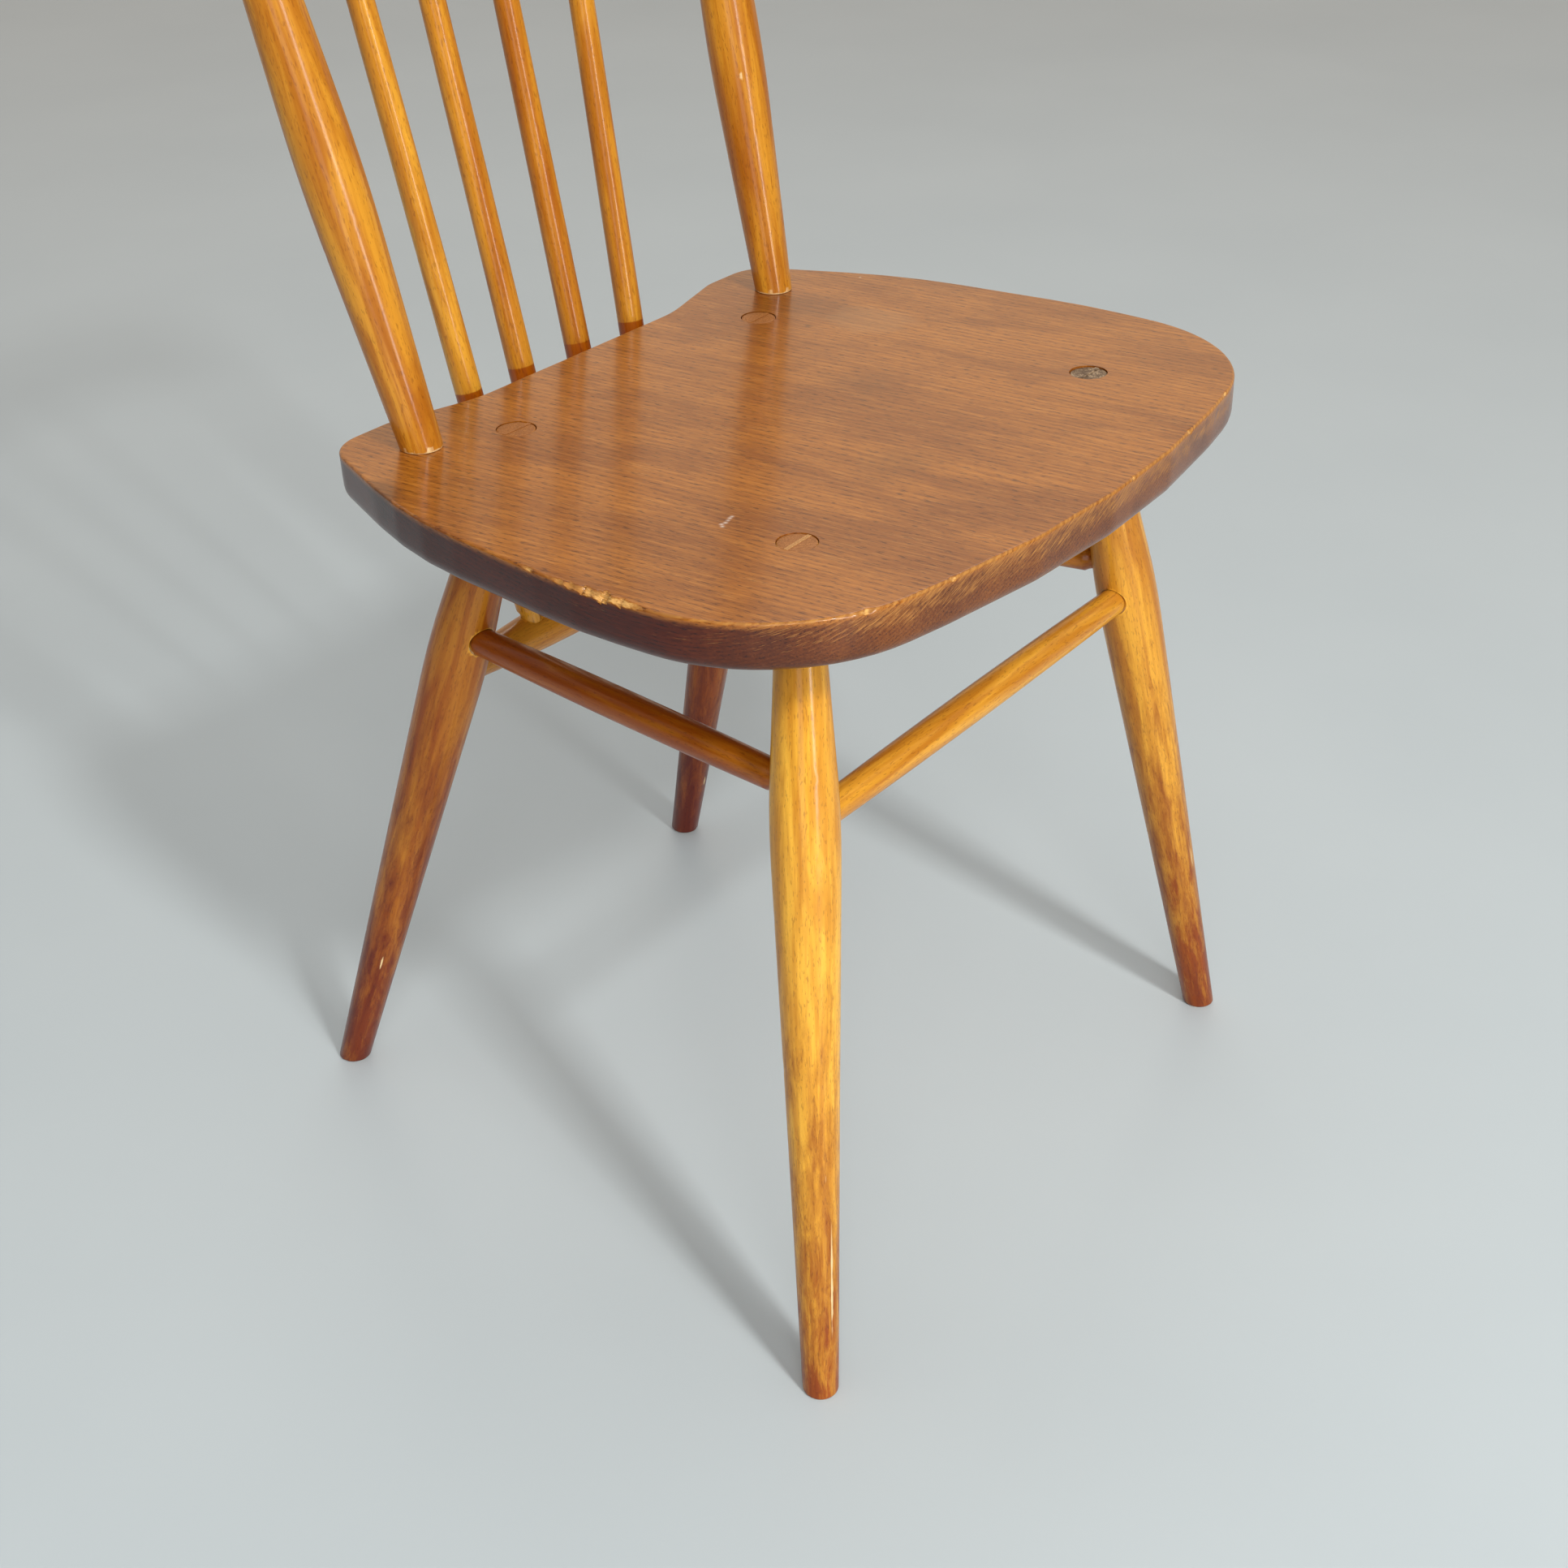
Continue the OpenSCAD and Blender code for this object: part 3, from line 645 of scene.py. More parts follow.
def stained_end_grain_cut(name, light, deep, soaked):
    """The nearly matt, dotted end of a tenon or a wedge. soaked is how deep the stain patches are."""
    material, tree = start_material(name)
    place = add(tree, "ShaderNodeAttribute", out="Vector", attribute_name="grain")
    dots_at = add(tree, "ShaderNodeVectorMath", {0: place, "Scale": 1 / END_PORE}, operation="SCALE")
    dots = add(tree, "ShaderNodeTexNoise", {"Vector": dots_at, "Scale": 1.0, "Detail": 2.0})
    patch = add(tree, "ShaderNodeTexNoise", {"Vector": dots_at, "Scale": END_PORE / END_PATCH,
                "Detail": 3.0})
    rings = add(tree, "ShaderNodeTexWave", {"Vector": place, "Scale": WAVE_TURN / END_RING,
                "Distortion": 2.0, "Detail Scale": 0.6}, "Fac", bands_direction="Y")
    tone = colour(light)
    for layer, start, full, strength in ((rings, 0.4, 1.0, 0.4), (dots, 0.42, 0.66, 1.0),
                                         (patch, 0.46, 0.58, soaked)):
        share = add(tree, "ShaderNodeMapRange", {0: layer, 1: start, 2: full, 3: 0.0, 4: strength})
        tone = add(tree, "ShaderNodeMix", {0: share, 6: tone, 7: colour(deep)}, 2, data_type="RGBA")
    dulled = add(tree, "ShaderNodeMapRange", {0: dots, 1: 0.3, 2: 0.7, 3: 0.38, 4: 0.55})
    bump = add(tree, "ShaderNodeBump", {"Height": dots, "Strength": 0.4, "Distance": 0.1 * MM})
    shader = add(tree, "ShaderNodeBsdfPrincipled", {"Base Color": tone, "Roughness": dulled,
                 "Normal": bump, "IOR": 1.5, "Specular IOR Level": 0.2, "Coat Weight": 0.1,
                 "Coat Roughness": 0.3, "Coat IOR": 1.5})
    add(tree, "ShaderNodeOutputMaterial", {0: shader})
    return material


end_grain = stained_end_grain_cut("stained_end_grain_cut", "#b0723a", "#8a5428", 0.4)
grey_end_grain = stained_end_grain_cut("weathered_end_grain_cut", "#ab9172", "#4b3522", 0.85)
wedge_wood = stained_end_grain_cut("stained_wedge_split", "#c89458", "#a87540", 0.2)
print("materials:", end_grain.name, grey_end_grain.name, wedge_wood.name)

# %% [markdown]
# ## The legs
#
# A leg swells below the seat and then tapers to the foot. Its top is a plain round tenon that
# goes right through the seat and is cut flush there. The wood has dried since, so the tenons lie
# a hair below the seat, and the front left one a little more. The four legs have one shape, but
# each gets its own stain, with painted shade on the rear legs, and its own dents and scuffs, so
# they are made by one loop and not as copies.

# %% Turn the legs
FLOOR_CUT = ((0, 0, 0), (0, 0, 1))
# How far below the seat the tenons end, in mm.
FLUSH, SHRUNK = 0.3, 0.7
# Each scuff: place along the leg, angle off the front, half length, half width, depth.
LEG_MARKS = {
    "leg_front_right": [(70 * MM, 0.05, 62 * MM, 1.3 * MM, 0.35 * MM),
                        (128 * MM, -0.2, 9 * MM, 0.8 * MM, 0.2 * MM)],
    "leg_front_left": [(120 * MM, 0.4, 14 * MM, 1.0 * MM, 0.2 * MM)],
    "leg_rear_right": [(90 * MM, -0.5, 10 * MM, 1.2 * MM, 0.2 * MM)],
    "leg_rear_left": [(60 * MM, 0.3, 9 * MM, 1.2 * MM, 0.2 * MM)],
}
# How darkly each leg is stained. The rear legs' high values are painted shade from the seat above them.
LEG_STAIN_AND_SHADE = {"leg_front_right": 0.12, "leg_front_left": 0.38, "leg_rear_right": 0.85,
             "leg_rear_left": 1.0}
# How darkly each rail is stained. The high values of the side and rear rails are painted shade under the
# seat.
RAIL_STAIN_AND_SHADE = {"rail_front": 0.42, "rail_right": 1.0, "rail_left": 0.8, "rail_rear": 0.6}
STICK_STAIN = {"stick_outer_right": 0.35, "stick_inner_right": 0.6, "stick_inner_left": 0.7,
               "stick_outer_left": 0.5}


def facing(node, towards):
    """The angle round a part's own axis that faces a given way."""
    base, tip = AXES[node]
    turn = Vector(tip - base).to_track_quat("Z", "Y").to_matrix()
    local = turn.inverted() @ Vector(towards)
    return math.atan2(local.y, local.x)


legs = {}
for k, node in enumerate(sorted(LEG_MARKS)):
    turn_to = facing(node, (-0.25, -0.97, 0))
    marks = [(place, turn_to + at, *size) for place, at, *size in LEG_MARKS[node]]
    drop = SHRUNK if node == "leg_front_left" else FLUSH
    top = (seat_origin - seat_up * drop * MM, seat_up)
    legs[node] = turned(f"{node}_turned", node, FLOOR_CUT, top, soft=(1.6 * MM, 0.5 * MM), seed=k + 1,
                        dents=0.25 * MM, scuffs=marks, stain_and_shade=LEG_STAIN_AND_SHADE[node])
    print(legs[node].name, "turned,", len(legs[node].data.vertices), "points")

# %% [markdown]
# ## The rails
#
# Each rail is a round rod that swells to its middle. Its ends are smaller round tenons that sit
# in bores in the legs. The rails could simply pass into the legs, but then two solids would fill
# the same space, so the legs are drilled where the rails go in. The drill runs on out of the
# leg, first at the tenon's size and then wider from the shoulder on.

# %% Turn the rails and drill the legs
BORE_OUT = 60 * MM
# A rail is at its full thickness this many steps of its profile in from its end.
SHOULDER_AT = 22
# A rail that ends nearer than this to a leg's axis is set into that leg.
IN_LEG = 12 * MM
ABOVE_RAILS = 0.3

rails = {}
for k, node in enumerate(n for n in sorted(AXES) if n.startswith("rail")):
    rails[node] = turned(f"{node}_turned", node, sides=56, seed=k + 11, dents=0.15 * MM,
                         soft=(0.5 * MM, 0.5 * MM), stain_and_shade=RAIL_STAIN_AND_SHADE[node])


def rail_bores(leg):
    """The bores that a leg needs for the rails that end inside it."""
    (foot, top), bores = AXES[leg], []
    way = (top - foot) / np.linalg.norm(top - foot)
    for node, (base, tip) in AXES.items():
        if not node.startswith("rail"):
            continue
        for end, other in ((base, tip), (tip, base)):
            off = end - foot
            if np.linalg.norm(off - way * (off @ way)) > IN_LEG:
                continue
            out = (other - end) / np.linalg.norm(other - end)
            radii = profile_of(node, base, tip)[1]
            inward = radii if end is base else radii[::-1]
            thin = min(radii[3], radii[-4])
            # The shoulder is where the rail first gets thicker than its tenon.
            reach = np.argmax(inward > thin + 0.8 * MM) * PROFILE_STEP
            shoulder = inward[SHOULDER_AT]
            bores.append((end - out * 1.5 * MM, end + out * BORE_OUT, thin + 0.2 * MM))
            bores.append((end + out * (reach - 0.4 * MM), end + out * BORE_OUT, shoulder + 0.35 * MM))
    return bores


for node, leg in legs.items():
    drill(leg, rail_bores(node))
    turn = leg.matrix_world.to_3x3()
    # The end grain goes on the tenon's top: the faces that look up, above the rails.
    tops = [(turn @ face.normal) @ seat_up > 0.9 and (leg.matrix_world @ face.center).z > ABOVE_RAILS
            for face in leg.data.polygons]
    settle(leg, node, "turned_wood", beech, grey_end_grain if node == "leg_front_left" else end_grain)
    leg.data.polygons.foreach_set("material_index", tops)

# %% [markdown]
# ## The posts and the sticks
#
# The posts stand on the seat and taper into the crest rail. The sticks are thin rods that pass
# behind the seat and run down into the rear rail. Both are turned like the legs. A stick's mesh
# has closer rings, because a band of painted shadow, where the seat shades it, starts and ends
# within a few millimetres.

# %% Turn the posts and the sticks
# A band of painted shadow darkens a stick where it passes behind the seat's back edge, in the seat's
# shadow: from, to and how dark.
SEAT_SHADOW_FROM, SEAT_SHADOW_TO, SEAT_SHADOW_DARKNESS = -30 * MM, -5 * MM, 1.4
STICK_BORE = 5.65 * MM
post_cut = (seat_origin + seat_up * 0.1 * MM, seat_up)
for k, node in enumerate(("post_left", "post_right")):
    turn_to = facing(node, (-0.9, -0.45, 0))
    marks = [(140 * MM, turn_to + 0.3, 6 * MM, 1.5 * MM, 0.15 * MM)]
    post = turned(f"{node}_turned", node, post_cut, None, soft=(0.7 * MM, 0.4 * MM), seed=k + 21,
                  dents=0.2 * MM, scuffs=marks, stain_and_shade=0.58, base_ring=2.5 * MM)
    settle(post, node, "turned_wood", beech)


def stick_stain_and_shadow(node):
    """The stain along a stick: its own tone, and a band of painted seat shadow where it passes behind the
    seat's back edge.
    """
    base, tip = AXES[node]
    way = Vector(tip - base).normalized()
    meets = (seat_origin - Vector(base)) @ seat_up / (way @ seat_up)
    return lambda z: SEAT_SHADOW_DARKNESS if SEAT_SHADOW_FROM < z - meets < SEAT_SHADOW_TO else STICK_STAIN[node]


for k, node in enumerate(n for n in sorted(AXES) if n.startswith("stick")):
    stick = turned(f"{node}_turned", node, sides=40, seed=k + 31, dents=0.1 * MM,
                   soft=(0.4 * MM, 0.4 * MM), stain_and_shade=stick_stain_and_shadow(node), step=1 * MM)
    settle(stick, node, "turned_wood", beech)

stick_bores = []
for node, (base, tip) in AXES.items():
    if node.startswith("stick"):
        way = (tip - base) / np.linalg.norm(tip - base)
        stick_bores.append((base - way * 0.5 * MM, base + way * 40 * MM, STICK_BORE))
drill(rails["rail_rear"], stick_bores)
for node, rail in rails.items():
    settle(rail, node, "turned_wood", beech)

# %% [markdown]
# ## The seat
#
# The seat is a slab with a rounded outline. Its rim is built as rings of points that follow the
# outline: across the rounded top edge, down the side and under the rounded lower edge. The top
# edge is where a chair like this suffers. A splinter has broken away on the sitter's right, the
# edge is rubbed through to bare wood all round the front, and small chips are missing. A Bevel
# modifier would give an even edge that no old seat has, so all of that is cut into the points
# before the mesh is made.

# %% The outline of the seat
RIM_STEP = 1.1 * MM
HOLE_CLEAR = 15 * MM


def seat_outline(depth):
    """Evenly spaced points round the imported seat, at a depth below its top."""
    edges = mesh_arrays("seat")[1]
    cut = slice_part(seat_points, edges, np.array([0, 0, -depth]), np.array([0, 0, 1.0]))[:, :2]
    inverse = SEAT.inverted()
    # Points near a leg, post or stick may lie on its hole, so they are left out and bridged over.
    for node, (base, tip) in AXES.items():
        ends = [np.array(inverse @ Vector(p)) for p in (base, tip)]
        share = (-depth - ends[0][2]) / (ends[1][2] - ends[0][2])
        if 0 <= share <= 1.2 or node.startswith("post"):
            hole = ends[0] + (ends[1] - ends[0]) * share
            cut = cut[np.linalg.norm(cut - hole[:2], axis=1) > HOLE_CLEAR]
    middle = (cut.min(0) + cut.max(0)) / 2
    angle = np.arctan2(*(cut - middle).T[::-1])
    ring = cut[np.argsort(angle)]
    ring = np.vstack([ring, ring[:1]])
    run = np.concatenate([[0], np.cumsum(np.linalg.norm(np.diff(ring, axis=0), axis=1))])
    count = int(run[-1] / RIM_STEP)
    even = np.arange(count) * run[-1] / count
    ring = np.stack([np.interp(even, run, ring[:, k]) for k in (0, 1)], axis=1)
    for _ in range(6):
        ring = (np.roll(ring, 1, 0) + 2 * ring + np.roll(ring, -1, 0)) / 4
    return ring


rim = seat_outline(12 * MM)
ahead_of = np.roll(rim, -1, 0) - np.roll(rim, 1, 0)
rim_out = np.stack([ahead_of[:, 1], -ahead_of[:, 0]], axis=1)
rim_out /= np.linalg.norm(rim_out, axis=1)[:, None]
rim_at = np.arange(len(rim)) * np.linalg.norm(rim[1] - rim[0])
print(f"outline of {len(rim)} points, {rim_at[-1]:.3f} m round, box {rim.min(0)} {rim.max(0)}")

# %% [markdown]
# How much wood is missing from the top edge at each point of the outline: a little nearly
# everywhere, more towards the front, and the long splinter on the sitter's right side.
# The splinter follows the grain, so its ragged edge changes quickly along the rim.

# %% Wear along the seat's top edge
# The splinter's middle and half length along the side, back from the front edge, and its depth.
SPLINTER_AT, SPLINTER_HALF, SPLINTER_DEEP = 0.131, 0.030, 2.8 * MM
# The same for the nick behind it and for the crack that it started from.
NICK_AT, NICK_HALF, NICK_DEEP = 0.172, 0.006, 1.0 * MM
CRACK_AT, CRACK_HALF, CRACK_DEEP = 0.195, 0.03, 0.5 * MM
# The edge is worn more and more from here to here, going forward.
WORN_FROM, WORN_FULL = 0.24, 0.02
# Chips are only in the edge this near to the front.
CHIPPED = 0.06
# The chips in the front edge: (place across, half width) in metres, and depth in mm.
CHIPS = [(-0.164, 0.004, 1.1), (-0.118, 0.0025, 0.9), (0.02, 0.003, 0.6), (0.085, 0.004, 0.6),
         (0.14, 0.004, 0.6)]


def edge_loss(x, back, at):
    """(depth of wood lost from the top edge, bare share) at a place on the rim."""
    front = float(smooth(WORN_FROM, WORN_FULL, back))
    ripple = rough(at / (16 * MM), 3.3, 0) + 0.6 * rough(at / (3.2 * MM), 9.1, 0)
    loss = (0.25 + 0.45 * front + 0.35 * front * ripple) * MM
    bare = 0.25 + 0.65 * front + 0.35 * ripple
    if x < 0:
        splinter = float(bump_at(back, SPLINTER_AT, SPLINTER_HALF) ** 0.5)
        ragged = 0.75 + 0.55 * rough(at / (3.5 * MM), 7.7, 0) + 0.35 * rough(at / (1.4 * MM), 1.7, 0)
        loss += SPLINTER_DEEP * splinter * max(0.1, ragged)
        bare += 0.5 * splinter
        nick = float(bump_at(back, NICK_AT, NICK_HALF))
        loss += NICK_DEEP * nick
        bare += 0.5 * nick
        crack = float(bump_at(back, CRACK_AT, CRACK_HALF))
        loss += CRACK_DEEP * crack * max(0, ragged)
    for chip_x, half, depth in CHIPS:
        if back < CHIPPED:
            chip = float(bump_at(x, chip_x, half))
            loss += depth * MM * chip
            bare += 0.8 * chip
    return loss, min(1.0, max(0.0, bare))


losses = [edge_loss(x, back, at) for (x, back), at in zip(rim, rim_at)]
print(f"most wood lost: {max(loss for loss, _ in losses) / MM:.1f} mm")

# %% [markdown]
# The rim's section goes from the top, round the small arris, down the side and round the larger
# curve of the lower edge. Its points lie close together where wood is missing, so that the worn
# surface can turn quickly. Each one is given as its depth below the top and its inset from the
# outline.

# %% The rings of the rim
ARRIS = 1.3 * MM
UNDER, UNDER_DEEP = 7.0 * MM, 9.0 * MM

rings = [(0.0, i * MM) for i in (18, 13, 10, 8, 6.8, 5.8, 5.0, 4.3, 3.7, 3.1, 2.6, 2.1, 1.7)]
rings += [(ARRIS * (1 - math.cos(a)), ARRIS * (1 - math.sin(a)))
          for a in np.radians([15, 30, 45, 60, 75, 90])]
rings += [(d * MM, 0.0) for d in (1.8, 2.3, 2.9, 3.6, 4.4, 5.4, 6.6, 8, 10, 12)]
side_end = SEAT_THICK - UNDER_DEEP
rings += [(side_end + UNDER_DEEP * math.sin(a),
           UNDER * (1 - math.cos(a)) ** 1.3 + 0.3 * MM * math.sin(a))
          for a in np.radians([10, 20, 30, 40, 50, 60, 70, 80, 90])]
rings += [(SEAT_THICK, i * MM) for i in (9.5, 13, 18)]
print(len(rings), "rings")

# %% [markdown]
# The outline is carried round the section. Where the line of wear lies deeper than a ring, the
# ring's point moves in to it, and it is marked as worn.

# %% Build the seat
# The way the edge is worn, across and down, as a unit vector.
CUT_WAY = np.array([0.62, 0.78])
# Wear reaches at most this far down and this far in.
WEAR_DEEP, WEAR_IN = 8 * MM, 9 * MM

points, worn, stain_and_shade = [], [], []
for depth, inset in rings:
    for (x, back), out, at, (loss, bare) in zip(rim, rim_out, rim_at, losses):
        cut = np.array([inset, depth])
        lost = 0.0
        if depth < WEAR_DEEP and inset < WEAR_IN:
            grain = 1 + 0.35 * rough(at / (1.8 * MM), depth / (0.8 * MM), inset / (0.8 * MM))
            lack = loss * grain * 0.9 - cut @ CUT_WAY
            if lack > 0:
                cut = cut + CUT_WAY * lack
                lost = min(1.0, lack / (0.5 * MM))
        swell = 0.15 * MM * (rough(x / 0.05, back / 0.05, depth / 0.01) - 1) if depth > 0 else 0
        moved = np.array([x, back]) - out * (cut[0] - swell)
        points.append((moved[0], moved[1], -cut[1]))
        near_edge = max(0.0, 1 - math.hypot(inset, depth) / (2.4 * MM))
        # The front of the rim is scraped as well, the more so the more squarely it faces forward.
        front = max(0, -out[1])
        scraped = 0.18 + (0.22 + 0.12 * rough(at / (12 * MM), depth / (5 * MM), 4)) * front ** 1.5
        scraped *= float(smooth(24 * MM, 6 * MM, depth)) * (depth > 0)
        worn.append(min(1.0, max(bare * max(lost, 0.8 * near_edge), scraped)))
        # Below the top edge the rim is darker: partly stain, partly painted shade on the sides; the front
        # face less so.
        stain_and_shade.append((1.0 - 0.4 * front ** 2) * float(smooth(0.8 * MM, 4 * MM, depth)))
count = len(rim)
faces = []
for k in range(len(rings) - 1):
    for i in range(count):
        j = (i + 1) % count
        faces.append([k * count + i, (k + 1) * count + i, (k + 1) * count + j, k * count + j])
faces.append(list(range(count)))
faces.append([(len(rings) - 1) * count + i for i in range(count)][::-1])
seat = make_piece("seat_planed", points, faces, SEAT, worn, stain_and_shade)
print("seat:", len(points), "points,", len(faces), "faces")

# %% [markdown]
# The legs' tenons go right through the seat, in bores a little wider than the tenons. The posts
# go in from above.

# %% Drill the seat for the legs and the posts
LEG_CLEAR, POST_BORE = 0.3 * MM, 8.1 * MM
holes = []
for node, (base, tip) in AXES.items():
    way = (tip - base) / np.linalg.norm(tip - base)
    if node.startswith("leg"):
        # The tenon's radius is read a few millimetres below its end.
        tenon = profile_of(node, base, tip)[1][-8]
        holes.append((tip - way * 60 * MM, tip + way * 20 * MM, tenon + LEG_CLEAR))
    if node.startswith("post"):
        holes.append((base, base + way * 40 * MM, POST_BORE))
drill(seat, holes)
settle(seat, "seat", "seat_wood", elm)

# %% [markdown]
# ## The wedges
#
# A thin wedge is driven into a saw cut in the top of each tenon to spread it. Only its top edge
# shows, as a bar across the round end: pale in the front right tenon, greyed with the tenon at
# the front left, and stained like their tenons at the rear. Each is a separate piece of wood,
# so it isn't painted on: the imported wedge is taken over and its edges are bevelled.

# %% The wedges
WEDGE_SOFT = 0.15 * MM
# Only edges that turn by more than this many radians are softened.
WEDGE_CORNER = 0.6
WEDGE_FINISH = {"wedge_front_left": grey_end_grain, "wedge_front_right": wedge_wood}


def wedge(node):
    """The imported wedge, with its edges softened."""
    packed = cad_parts[node].data
    work = bmesh.new()
    made = [work.verts.new(p.co) for p in packed.vertices]
    for face in packed.polygons:
        if len(set(face.vertices)) == len(face.vertices):
            try:
                work.faces.new([made[v] for v in face.vertices])
            except ValueError:
                pass
    bmesh.ops.remove_doubles(work, verts=work.verts, dist=0.01 * MM)
    bmesh.ops.dissolve_limit(work, angle_limit=math.radians(3), verts=work.verts, edges=work.edges)
    edges = [e for e in work.edges if e.calc_face_angle(0) > WEDGE_CORNER]
    bmesh.ops.bevel(work, geom=edges, offset=WEDGE_SOFT, segments=2, affect="EDGES", clamp_overlap=True)
    mesh = bpy.data.meshes.new(f"{node}_driven")
    work.to_mesh(mesh)
    work.free()
    piece = bpy.data.objects.new(f"{node}_driven", mesh)
    scene.collection.objects.link(piece)
    settle(piece, node, "wedge_wood", WEDGE_FINISH.get(node, end_grain))


for node in sorted(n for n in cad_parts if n.startswith("wedge")):
    wedge(node)

# %% [markdown]
# ## The crest rail
#
# The crest rail is a curved board with rounded edges and ends. It could be cut from a block with
# modifiers, but a sweep gives cleaner faces: a rounded section is carried along an arc. The
# section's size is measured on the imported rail.

# %% Measure the crest rail
# The radius of its curve, its lean, and how far in from each end its corners are rounded.
CREST_CURVE = 0.395
CREST_LEAN = math.radians(13)
CREST_END = 20 * MM
CREST_CORNER, CREST_END_SOFT = 7 * MM, 2.5 * MM
# Sections lie close together towards an end, and evenly between the two ends.
END_STATIONS = np.array([0, 0.3, 0.8, 1.5, 2.4, 3.6, 5, 7, 9.5, 12, 15, 18]) * MM
EVEN_FROM, EVEN_COUNT = 21 * MM, 90
points_in, edges_in = mesh_arrays("crest_rail")
middle_cut = slice_part(points_in, edges_in, np.zeros(3), np.array([1.0, 0, 0]))
lean_up = np.array([0, math.sin(CREST_LEAN), math.cos(CREST_LEAN)])
lean_back = np.array([0, math.cos(CREST_LEAN), -math.sin(CREST_LEAN)])
face_low, face_high = (middle_cut @ lean_up).min(), (middle_cut @ lean_up).max()
back_low, back_high = (middle_cut @ lean_back).min(), (middle_cut @ lean_back).max()
CREST_FACE, CREST_THICK = face_high - face_low, back_high - back_low
half_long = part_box("crest_rail")[1].x
print(f"crest rail: face {CREST_FACE / MM:.1f} mm, {CREST_THICK / MM:.1f} mm thick")


def crest_section(height, thick, corner, steps=7):
    """A rounded rectangle as (across, up) points, taken once round."""
    corner = min(corner, height / 2 - 0.1 * MM, thick / 2 - 0.1 * MM)
    out = []
    for cx, cy, start in ((1, 1, 0), (-1, 1, 90), (-1, -1, 180), (1, -1, 270)):
        for a in np.radians(np.linspace(start, start + 90, steps)):
            out.append((cx * (thick / 2 - corner) + corner * math.cos(a),
                        cy * (height / 2 - corner) + corner * math.sin(a)))
    return out


# %% [markdown]
# Near each end the section gets lower, so that the corners are rounded as seen from the front.
# The swept rail is then bored for the posts and the sticks.

# %% Sweep the crest rail
BACK_BORE = 5.6 * MM
stations = half_long - END_STATIONS
stations = np.concatenate([-stations, np.linspace(EVEN_FROM - half_long, half_long - EVEN_FROM, EVEN_COUNT),
                           stations[::-1]])
crest_points = []
for x in stations:
    from_end = half_long - abs(x)
    drop = CREST_END - math.sqrt(CREST_END ** 2 - max(0, CREST_END - from_end) ** 2)
    squeeze = CREST_END_SOFT - math.sqrt(CREST_END_SOFT ** 2 - max(0, CREST_END_SOFT - from_end) ** 2)
    sag = CREST_CURVE - math.sqrt(CREST_CURVE ** 2 - x * x)
    lean = math.asin(x / CREST_CURVE)
    tall, thick = CREST_FACE - 2 * drop - 2 * squeeze, CREST_THICK - 2 * squeeze
    for across, up in crest_section(tall, thick, CREST_CORNER):
        flat = np.array([x + across * math.sin(lean), 0, 0])
        deep = (back_low + back_high) / 2 - sag + across * math.cos(lean)
        rise = (face_low + face_high) / 2 + up
        crest_points.append(tuple(flat + lean_back * deep + lean_up * rise))
ring = len(crest_points) // len(stations)
crest_faces = []
for k in range(len(stations) - 1):
    for i in range(ring):
        j = (i + 1) % ring
        crest_faces.append([k * ring + i, (k + 1) * ring + i, (k + 1) * ring + j, k * ring + j])
crest_faces += [list(range(ring)), [(len(stations) - 1) * ring + i for i in range(ring)][::-1]]
# Its grain runs along it, so its own Z axis is laid along X.
crest_turn = Matrix.Rotation(math.pi / 2, 4, "Y")
crest_local = [tuple(crest_turn.inverted() @ Vector(p)) for p in crest_points]
crest = make_piece("crest_rail_shaped", crest_local, crest_faces, crest_turn, 0.15, 0.2)
work = bmesh.new()
work.from_mesh(crest.data)
bmesh.ops.recalc_face_normals(work, faces=work.faces)
work.to_mesh(crest.data)
work.free()
crest_bores = []
for node, (base, tip) in AXES.items():
    if node.startswith(("post", "stick")):
        way = (tip - base) / np.linalg.norm(tip - base)
        radius = POST_BORE if node.startswith("post") else BACK_BORE
        crest_bores.append((tip + way * 0.4 * MM, tip - way * 60 * MM, radius))
drill(crest, crest_bores)
settle(crest, "crest_rail", "turned_wood", beech)

# %% [markdown]
# ## The floor
#
# The floor is plain, pale and flat, so that it shows the shadows and nothing else. It is only
# there for the picture: it is staged, and isn't a part of the chair.

# %% The floor
def satin_screed(name):
    """A pale screed floor, floated smooth, with a faint mottle."""
    material, tree = start_material(name)
    place = add(tree, "ShaderNodeTexCoord", out="Object")
    cloud = add(tree, "ShaderNodeTexNoise", {"Vector": place, "Scale": 3.0, "Detail": 4.0})
    tone = add(tree, "ShaderNodeMix", {0: cloud, 6: colour("#bcc5c7"), 7: colour("#c6cecf")}, 2,
               data_type="RGBA")
    shader = add(tree, "ShaderNodeBsdfPrincipled", {"Base Color": tone, "Roughness": 0.5})
    add(tree, "ShaderNodeOutputMaterial", {0: shader})
    return material


FLOOR_REACH = 12
floor_mesh = bpy.data.meshes.new("floor")
corners = [(-1, -1), (1, -1), (1, 1), (-1, 1)]
floor_mesh.from_pydata([(x * FLOOR_REACH, y * FLOOR_REACH, 0) for x, y in corners], [], [[0, 1, 2, 3]])
floor_mesh.materials.append(satin_screed("satin_screed"))
floor = bpy.data.objects.new("floor", floor_mesh)
scene.collection.objects.link(floor)
print("floor:", 2 * FLOOR_REACH, "m square")

# %% [markdown]
# ## The lamps
#
# A small main lamp in front of the chair gives the shadow behind it an edge, and a wide one beside
# it softens that shadow. Round varnished parts look round because they mirror bright upright
# shapes, so two tall lamps stand near the floor like windows. A weak long lamp high behind the
# chair lies where the seat's top mirrors it, and gives the varnish there its sheen.

# %% The lamps
def lamp(name, at, wide, tall, power, aim):
    """A soft rectangular lamp of a size in metres and a power in watts, turned towards a point."""
    light = bpy.data.lights.new(name, "AREA")
    light.shape, light.size, light.size_y, light.energy = "RECTANGLE", wide, tall, power
    made = bpy.data.objects.new(name, light)
    look = (Vector(aim) - Vector(at)).to_track_quat("-Z", "Y").to_matrix().to_4x4()
    made.matrix_world = Matrix.Translation(at) @ look
    made.visible_camera = False
    scene.collection.objects.link(made)
    print(name, "at", at)


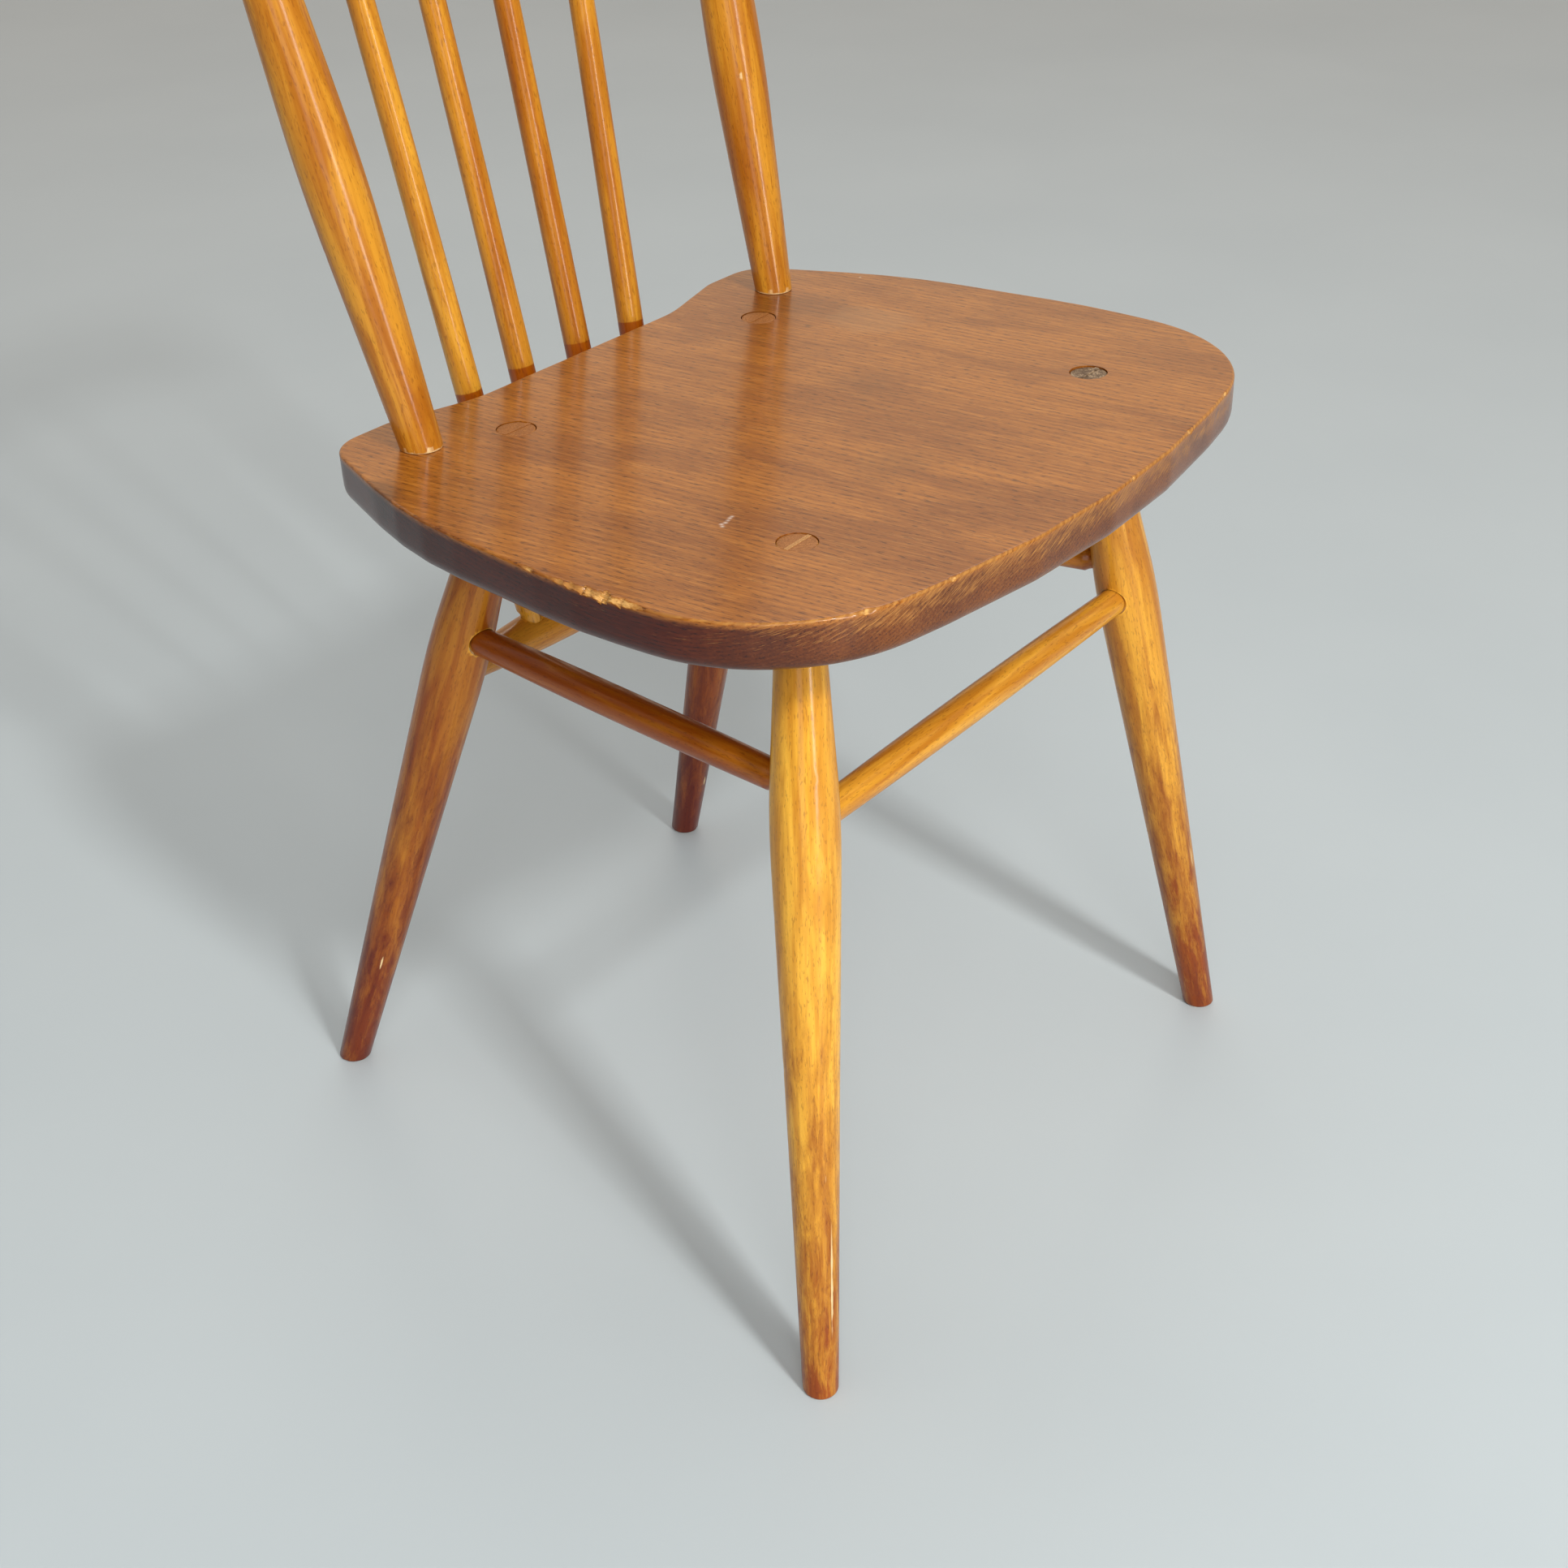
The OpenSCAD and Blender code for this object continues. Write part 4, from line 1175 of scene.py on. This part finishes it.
lamp("main_lamp", (-0.75, -2.35, 2.5), 0.3, 0.3, 50, (0, 0, 0.35))
lamp("side_lamp", (-2.1, -2.0, 2.5), 1.2, 1.2, 26, (0, 0, 0.35))
lamp("window_narrow", (-0.68, -2.4, 1.0), 0.34, 1.9, 24, (0, 0, 0.9))
lamp("window_wide", (-2.2, -1.35, 1.0), 0.8, 1.9, 9, (0, 0, 0.9))
lamp("wall_glow", (1.45, 1.05, 1.95), 1.3, 0.5, 5, (-0.05, -0.1, 0.43))

# %% [markdown]
# ## The room
#
# The room is dim near the floor, pale overhead and, for mirrored rays, white on the side behind
# the chair. So the varnish has something light to mirror on the seat and something dark to mirror
# on its round parts. That white wall is tinted warm for mirrored rays only: untinted, it lays a
# bluish veil over the brown stain. Seen directly, the background is plain white.

# %% The room
OVERHEAD, DIM, WALL = 0.60, 0.05, 0.45
WALL_WAY, WALL_TINT = (0.79, 0.61, 0.0), "#ffdfbc"

world = bpy.data.worlds.new("studio")
scene.world = world
world.use_nodes = True
tree = world.node_tree
tree.nodes.clear()
way = add(tree, "ShaderNodeTexCoord", out="Generated")
rise = add(tree, "ShaderNodeSeparateXYZ", {0: way}, "Z")
facing_wall = add(tree, "ShaderNodeVectorMath", {0: way, 1: WALL_WAY}, "Value", operation="DOT_PRODUCT")
wall_side = add(tree, "ShaderNodeMapRange", {0: facing_wall, 1: 0.40, 2: 0.75},
                interpolation_type="SMOOTHSTEP")
wall_top = add(tree, "ShaderNodeMapRange", {0: rise, 1: 0.85, 2: 0.62}, interpolation_type="SMOOTHSTEP")
wall = add(tree, "ShaderNodeMath", {0: wall_side, 1: wall_top}, operation="MULTIPLY")
above = add(tree, "ShaderNodeMapRange", {0: rise, 1: 0.15, 2: 0.85, 3: DIM, 4: OVERHEAD},
            interpolation_type="SMOOTHSTEP")
room = add(tree, "ShaderNodeMix", {0: wall, 2: above, 3: WALL})
camera_ray = add(tree, "ShaderNodeLightPath", out="Is Camera Ray")
glossy_ray = add(tree, "ShaderNodeLightPath", out="Is Glossy Ray")
through_ray = add(tree, "ShaderNodeLightPath", out="Is Transmission Ray")
mirrored = add(tree, "ShaderNodeMath", {0: glossy_ray, 1: wall}, operation="MULTIPLY")
seen = add(tree, "ShaderNodeMath", {0: camera_ray, 1: mirrored}, operation="MAXIMUM")
seen = add(tree, "ShaderNodeMath", {0: seen, 1: through_ray}, operation="MAXIMUM")
strength = add(tree, "ShaderNodeMix", {0: seen, 2: room, 3: 1.0})
tint = add(tree, "ShaderNodeMix", {0: mirrored, 6: colour("#ffffff"), 7: colour(WALL_TINT)}, 2,
           data_type="RGBA")
sky = add(tree, "ShaderNodeBackground", {"Color": tint, "Strength": strength})
add(tree, "ShaderNodeOutputWorld", {0: sky})
scene.view_settings.view_transform = "Standard"
print("room: overhead", OVERHEAD, "low down", DIM, "wall", WALL)
